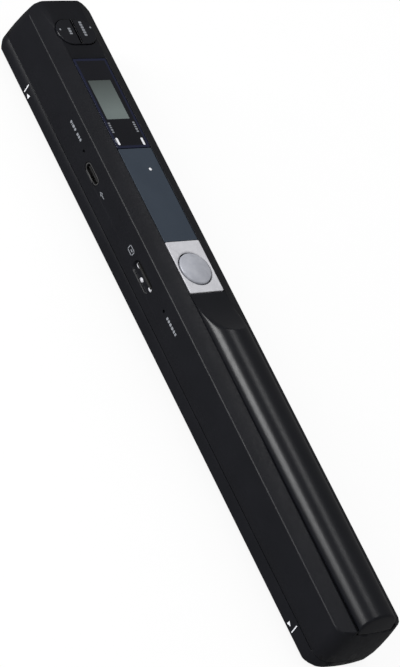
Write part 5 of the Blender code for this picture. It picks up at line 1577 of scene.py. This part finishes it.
@dataclass
class Sockets:
    """Small metal tabs in the card notch, each given as x from its middle, height and half sizes. Their
    bright satin finish also stands in for glints in the shaded notch, as painted highlights.
    """

    tabs: tuple[tuple[float, float, float, float], ...] = (
        (-0.0047, 0.014, 0.0011, 0.0008),
        (0.0, 0.0121, 0.001, 0.0007),
        (0.005, 0.0137, 0.0011, 0.0008),
    )
    floor: float = 0.0129
    rise: float = 0.0005

    def build(self) -> None:
        """Makes the tabs: each an oblong outline that shrinks as it rises, like a dome."""
        low, high = boxed("card_socket")
        middle = (low.x + high.x) / 2
        turn = np.linspace(0, math.pi / 2, 7)[:-1]
        solids = []
        for across, up, half_length, half_width in self.tabs:
            outline = superellipse(half_length, half_width, 2.6, 24)
            flat = outline[None] * np.cos(turn)[:, None, None] + np.array((middle + across, up))
            out = -self.floor - self.rise * np.sin(turn)
            level = np.broadcast_to(out[:, None], flat.shape[:2])
            solids.append(np.stack((flat[..., 0], level, flat[..., 1]), axis=-1))
        # Painted highlight: the bright satin finish makes the tabs show as glints in the shaded notch, as
        # well as being tabs.
        piece = joined_surfaces("notch_tabs_painted_glints", solids, FINISHES[Slot.SATIN_SILVER])
        place(piece, Body.CASE, Slot.SATIN_SILVER)


@dataclass
class RollerSet:
    """Rubber tyres with fine grooves, and the rounded glide feet."""

    groove_count: int = 9
    groove_depth: float = 0.0002
    edge: float = 0.0005
    shaft_radius: float = 0.001
    foot_edge: float = 0.0004

    def tyre(self, node: str) -> np.ndarray:
        """Rings of a tyre: a grooved tread between rounded edges.

        The radius follows R - depth |sin|^3 of the place along the tread.

        Args:
            node: Node of the roller.

        Returns:
            Rings of points.
        """
        low, high = boxed(node)
        radius = (high.z - low.z) / 2
        half = (high.x - low.x) / 2
        along = np.linspace(-1, 1, self.groove_count * 12 + 1)
        wave = np.abs(np.sin(along * math.pi / 2 * self.groove_count)) ** 3
        edge_share = np.clip((1 - np.abs(along)) * half / self.edge, 0, 1)
        rolled = radius - self.edge * (1 - np.sqrt(1 - (1 - edge_share) ** 2))
        tread = np.stack((rolled - self.groove_depth * wave * edge_share, along * half), axis=-1)
        hub = np.array(((self.shaft_radius, -half), (self.shaft_radius, half)))
        profile = np.vstack((hub[:1], tread, hub[1:]))
        return turned(profile, tuple((low + high) / 2), 0, 72)

    def build(self) -> None:
        """Makes both tyres and both feet."""
        for node in ("head_roller", "tail_roller"):
            piece = ring_surface(f"{node}_tyre", self.tyre(node), FINISHES[Slot.BLACK_RUBBER])
            place(piece, Body.ROLLERS, Slot.BLACK_RUBBER, node)
        for node in ("head_glide_foot", "tail_glide_foot"):
            low, high = boxed(node)
            outline = rounded_oblong((high.x - low.x) / 2, (high.y - low.y) / 2, (high.y - low.y) / 2.2)
            profile = edge_roll(-high.z, -low.z, self.foot_edge)
            rings = carried(outline, profile, ((low.x + high.x) / 2, (low.y + high.y) / 2))
            rings[..., 2] *= -1
            piece = ring_surface(f"{node}_pad", rings, FINISHES[Slot.GREY_PLASTIC])
            place(piece, Body.CASE, Slot.GREY_PLASTIC, node)


@dataclass
class CaseScrews:
    """Cross-head screws under the case, with their heads downwards."""

    count: int = 4
    head_height: float = 0.0009
    shank_radius: float = 0.0008
    edge: float = 0.0002
    recess_depth: float = 0.0005
    recess_reach: float = 0.62
    slot_half: float = 0.14
    soften: float = 0.05
    rings: int = 26
    places: int = 96

    def face(self, radius: float, bottom: float) -> np.ndarray:
        """Underside of the head: flat, with a cross pressed up into it.

        With u and v the shares of the radius across and along, the cross is where |u| or |v| is under
        the slot's half width, within the recess's reach. Each of its edges is a ramp of the softening's
        width.

        Args:
            radius: Radius of the flat face.
            bottom: Height of the face.

        Returns:
            Rings from the rim to the middle.
        """
        share = np.linspace(1, 0.01, self.rings)[:, None]
        turn = np.linspace(0, 2 * math.pi, self.places, endpoint=False)[None]
        across, along = share * np.cos(turn), share * np.sin(turn)
        nearest = np.minimum(np.abs(across), np.abs(along))
        inside = np.clip((self.slot_half - nearest) / self.soften, 0, 1)
        inside *= np.clip((self.recess_reach - share) / self.soften, 0, 1)
        return np.stack((radius * across, radius * along, bottom + self.recess_depth * inside), axis=-1)

    def build(self) -> None:
        """Makes each screw from its tip down to its face, and places it."""
        for number in range(1, self.count + 1):
            node = f"case_screw_{number}"
            low, high = boxed(node)
            radius = (high.x - low.x) / 2
            under = low.z + self.head_height
            profile = np.array(
                (
                    (self.shank_radius, high.z),
                    (self.shank_radius, under),
                    (radius, under),
                    (radius, low.z + self.edge),
                    (radius - self.edge / 3, low.z + self.edge / 3),
                )
            )
            body = turned(profile, (0, 0, 0), 2, self.places)
            rings = np.concatenate((body, self.face(radius - self.edge, low.z)))
            rings += np.array(((low.x + high.x) / 2, (low.y + high.y) / 2, 0))
            piece = ring_surface(f"{node}_head", rings, FINISHES[Slot.STEEL])
            place(piece, Body.CASE, Slot.STEEL, node)


def dress_nodes() -> None:
    """Gives every node of the model the finish of its slot."""
    for entry in frame["record"]["subparts"]:
        materials = frame["nodes"][entry["node"]].data.materials
        materials.clear()
        materials.append(FINISHES[Slot(entry["material_slot"])].material())


def main() -> None:
    """Builds the camera, the studio and every sub-assembly."""
    logging.basicConfig(level=logging.INFO, format="%(message)s")
    PhotoCamera().build()
    Studio().build()
    dress_nodes()
    upper = (Housing(), BatteryCover(), DeckPanels(), ScanButton(), KeyPair(), Sockets())
    for assembly in (*upper, RollerSet(), CaseScrews()):
        assembly.build()


if __name__ == "__main__":
    main()
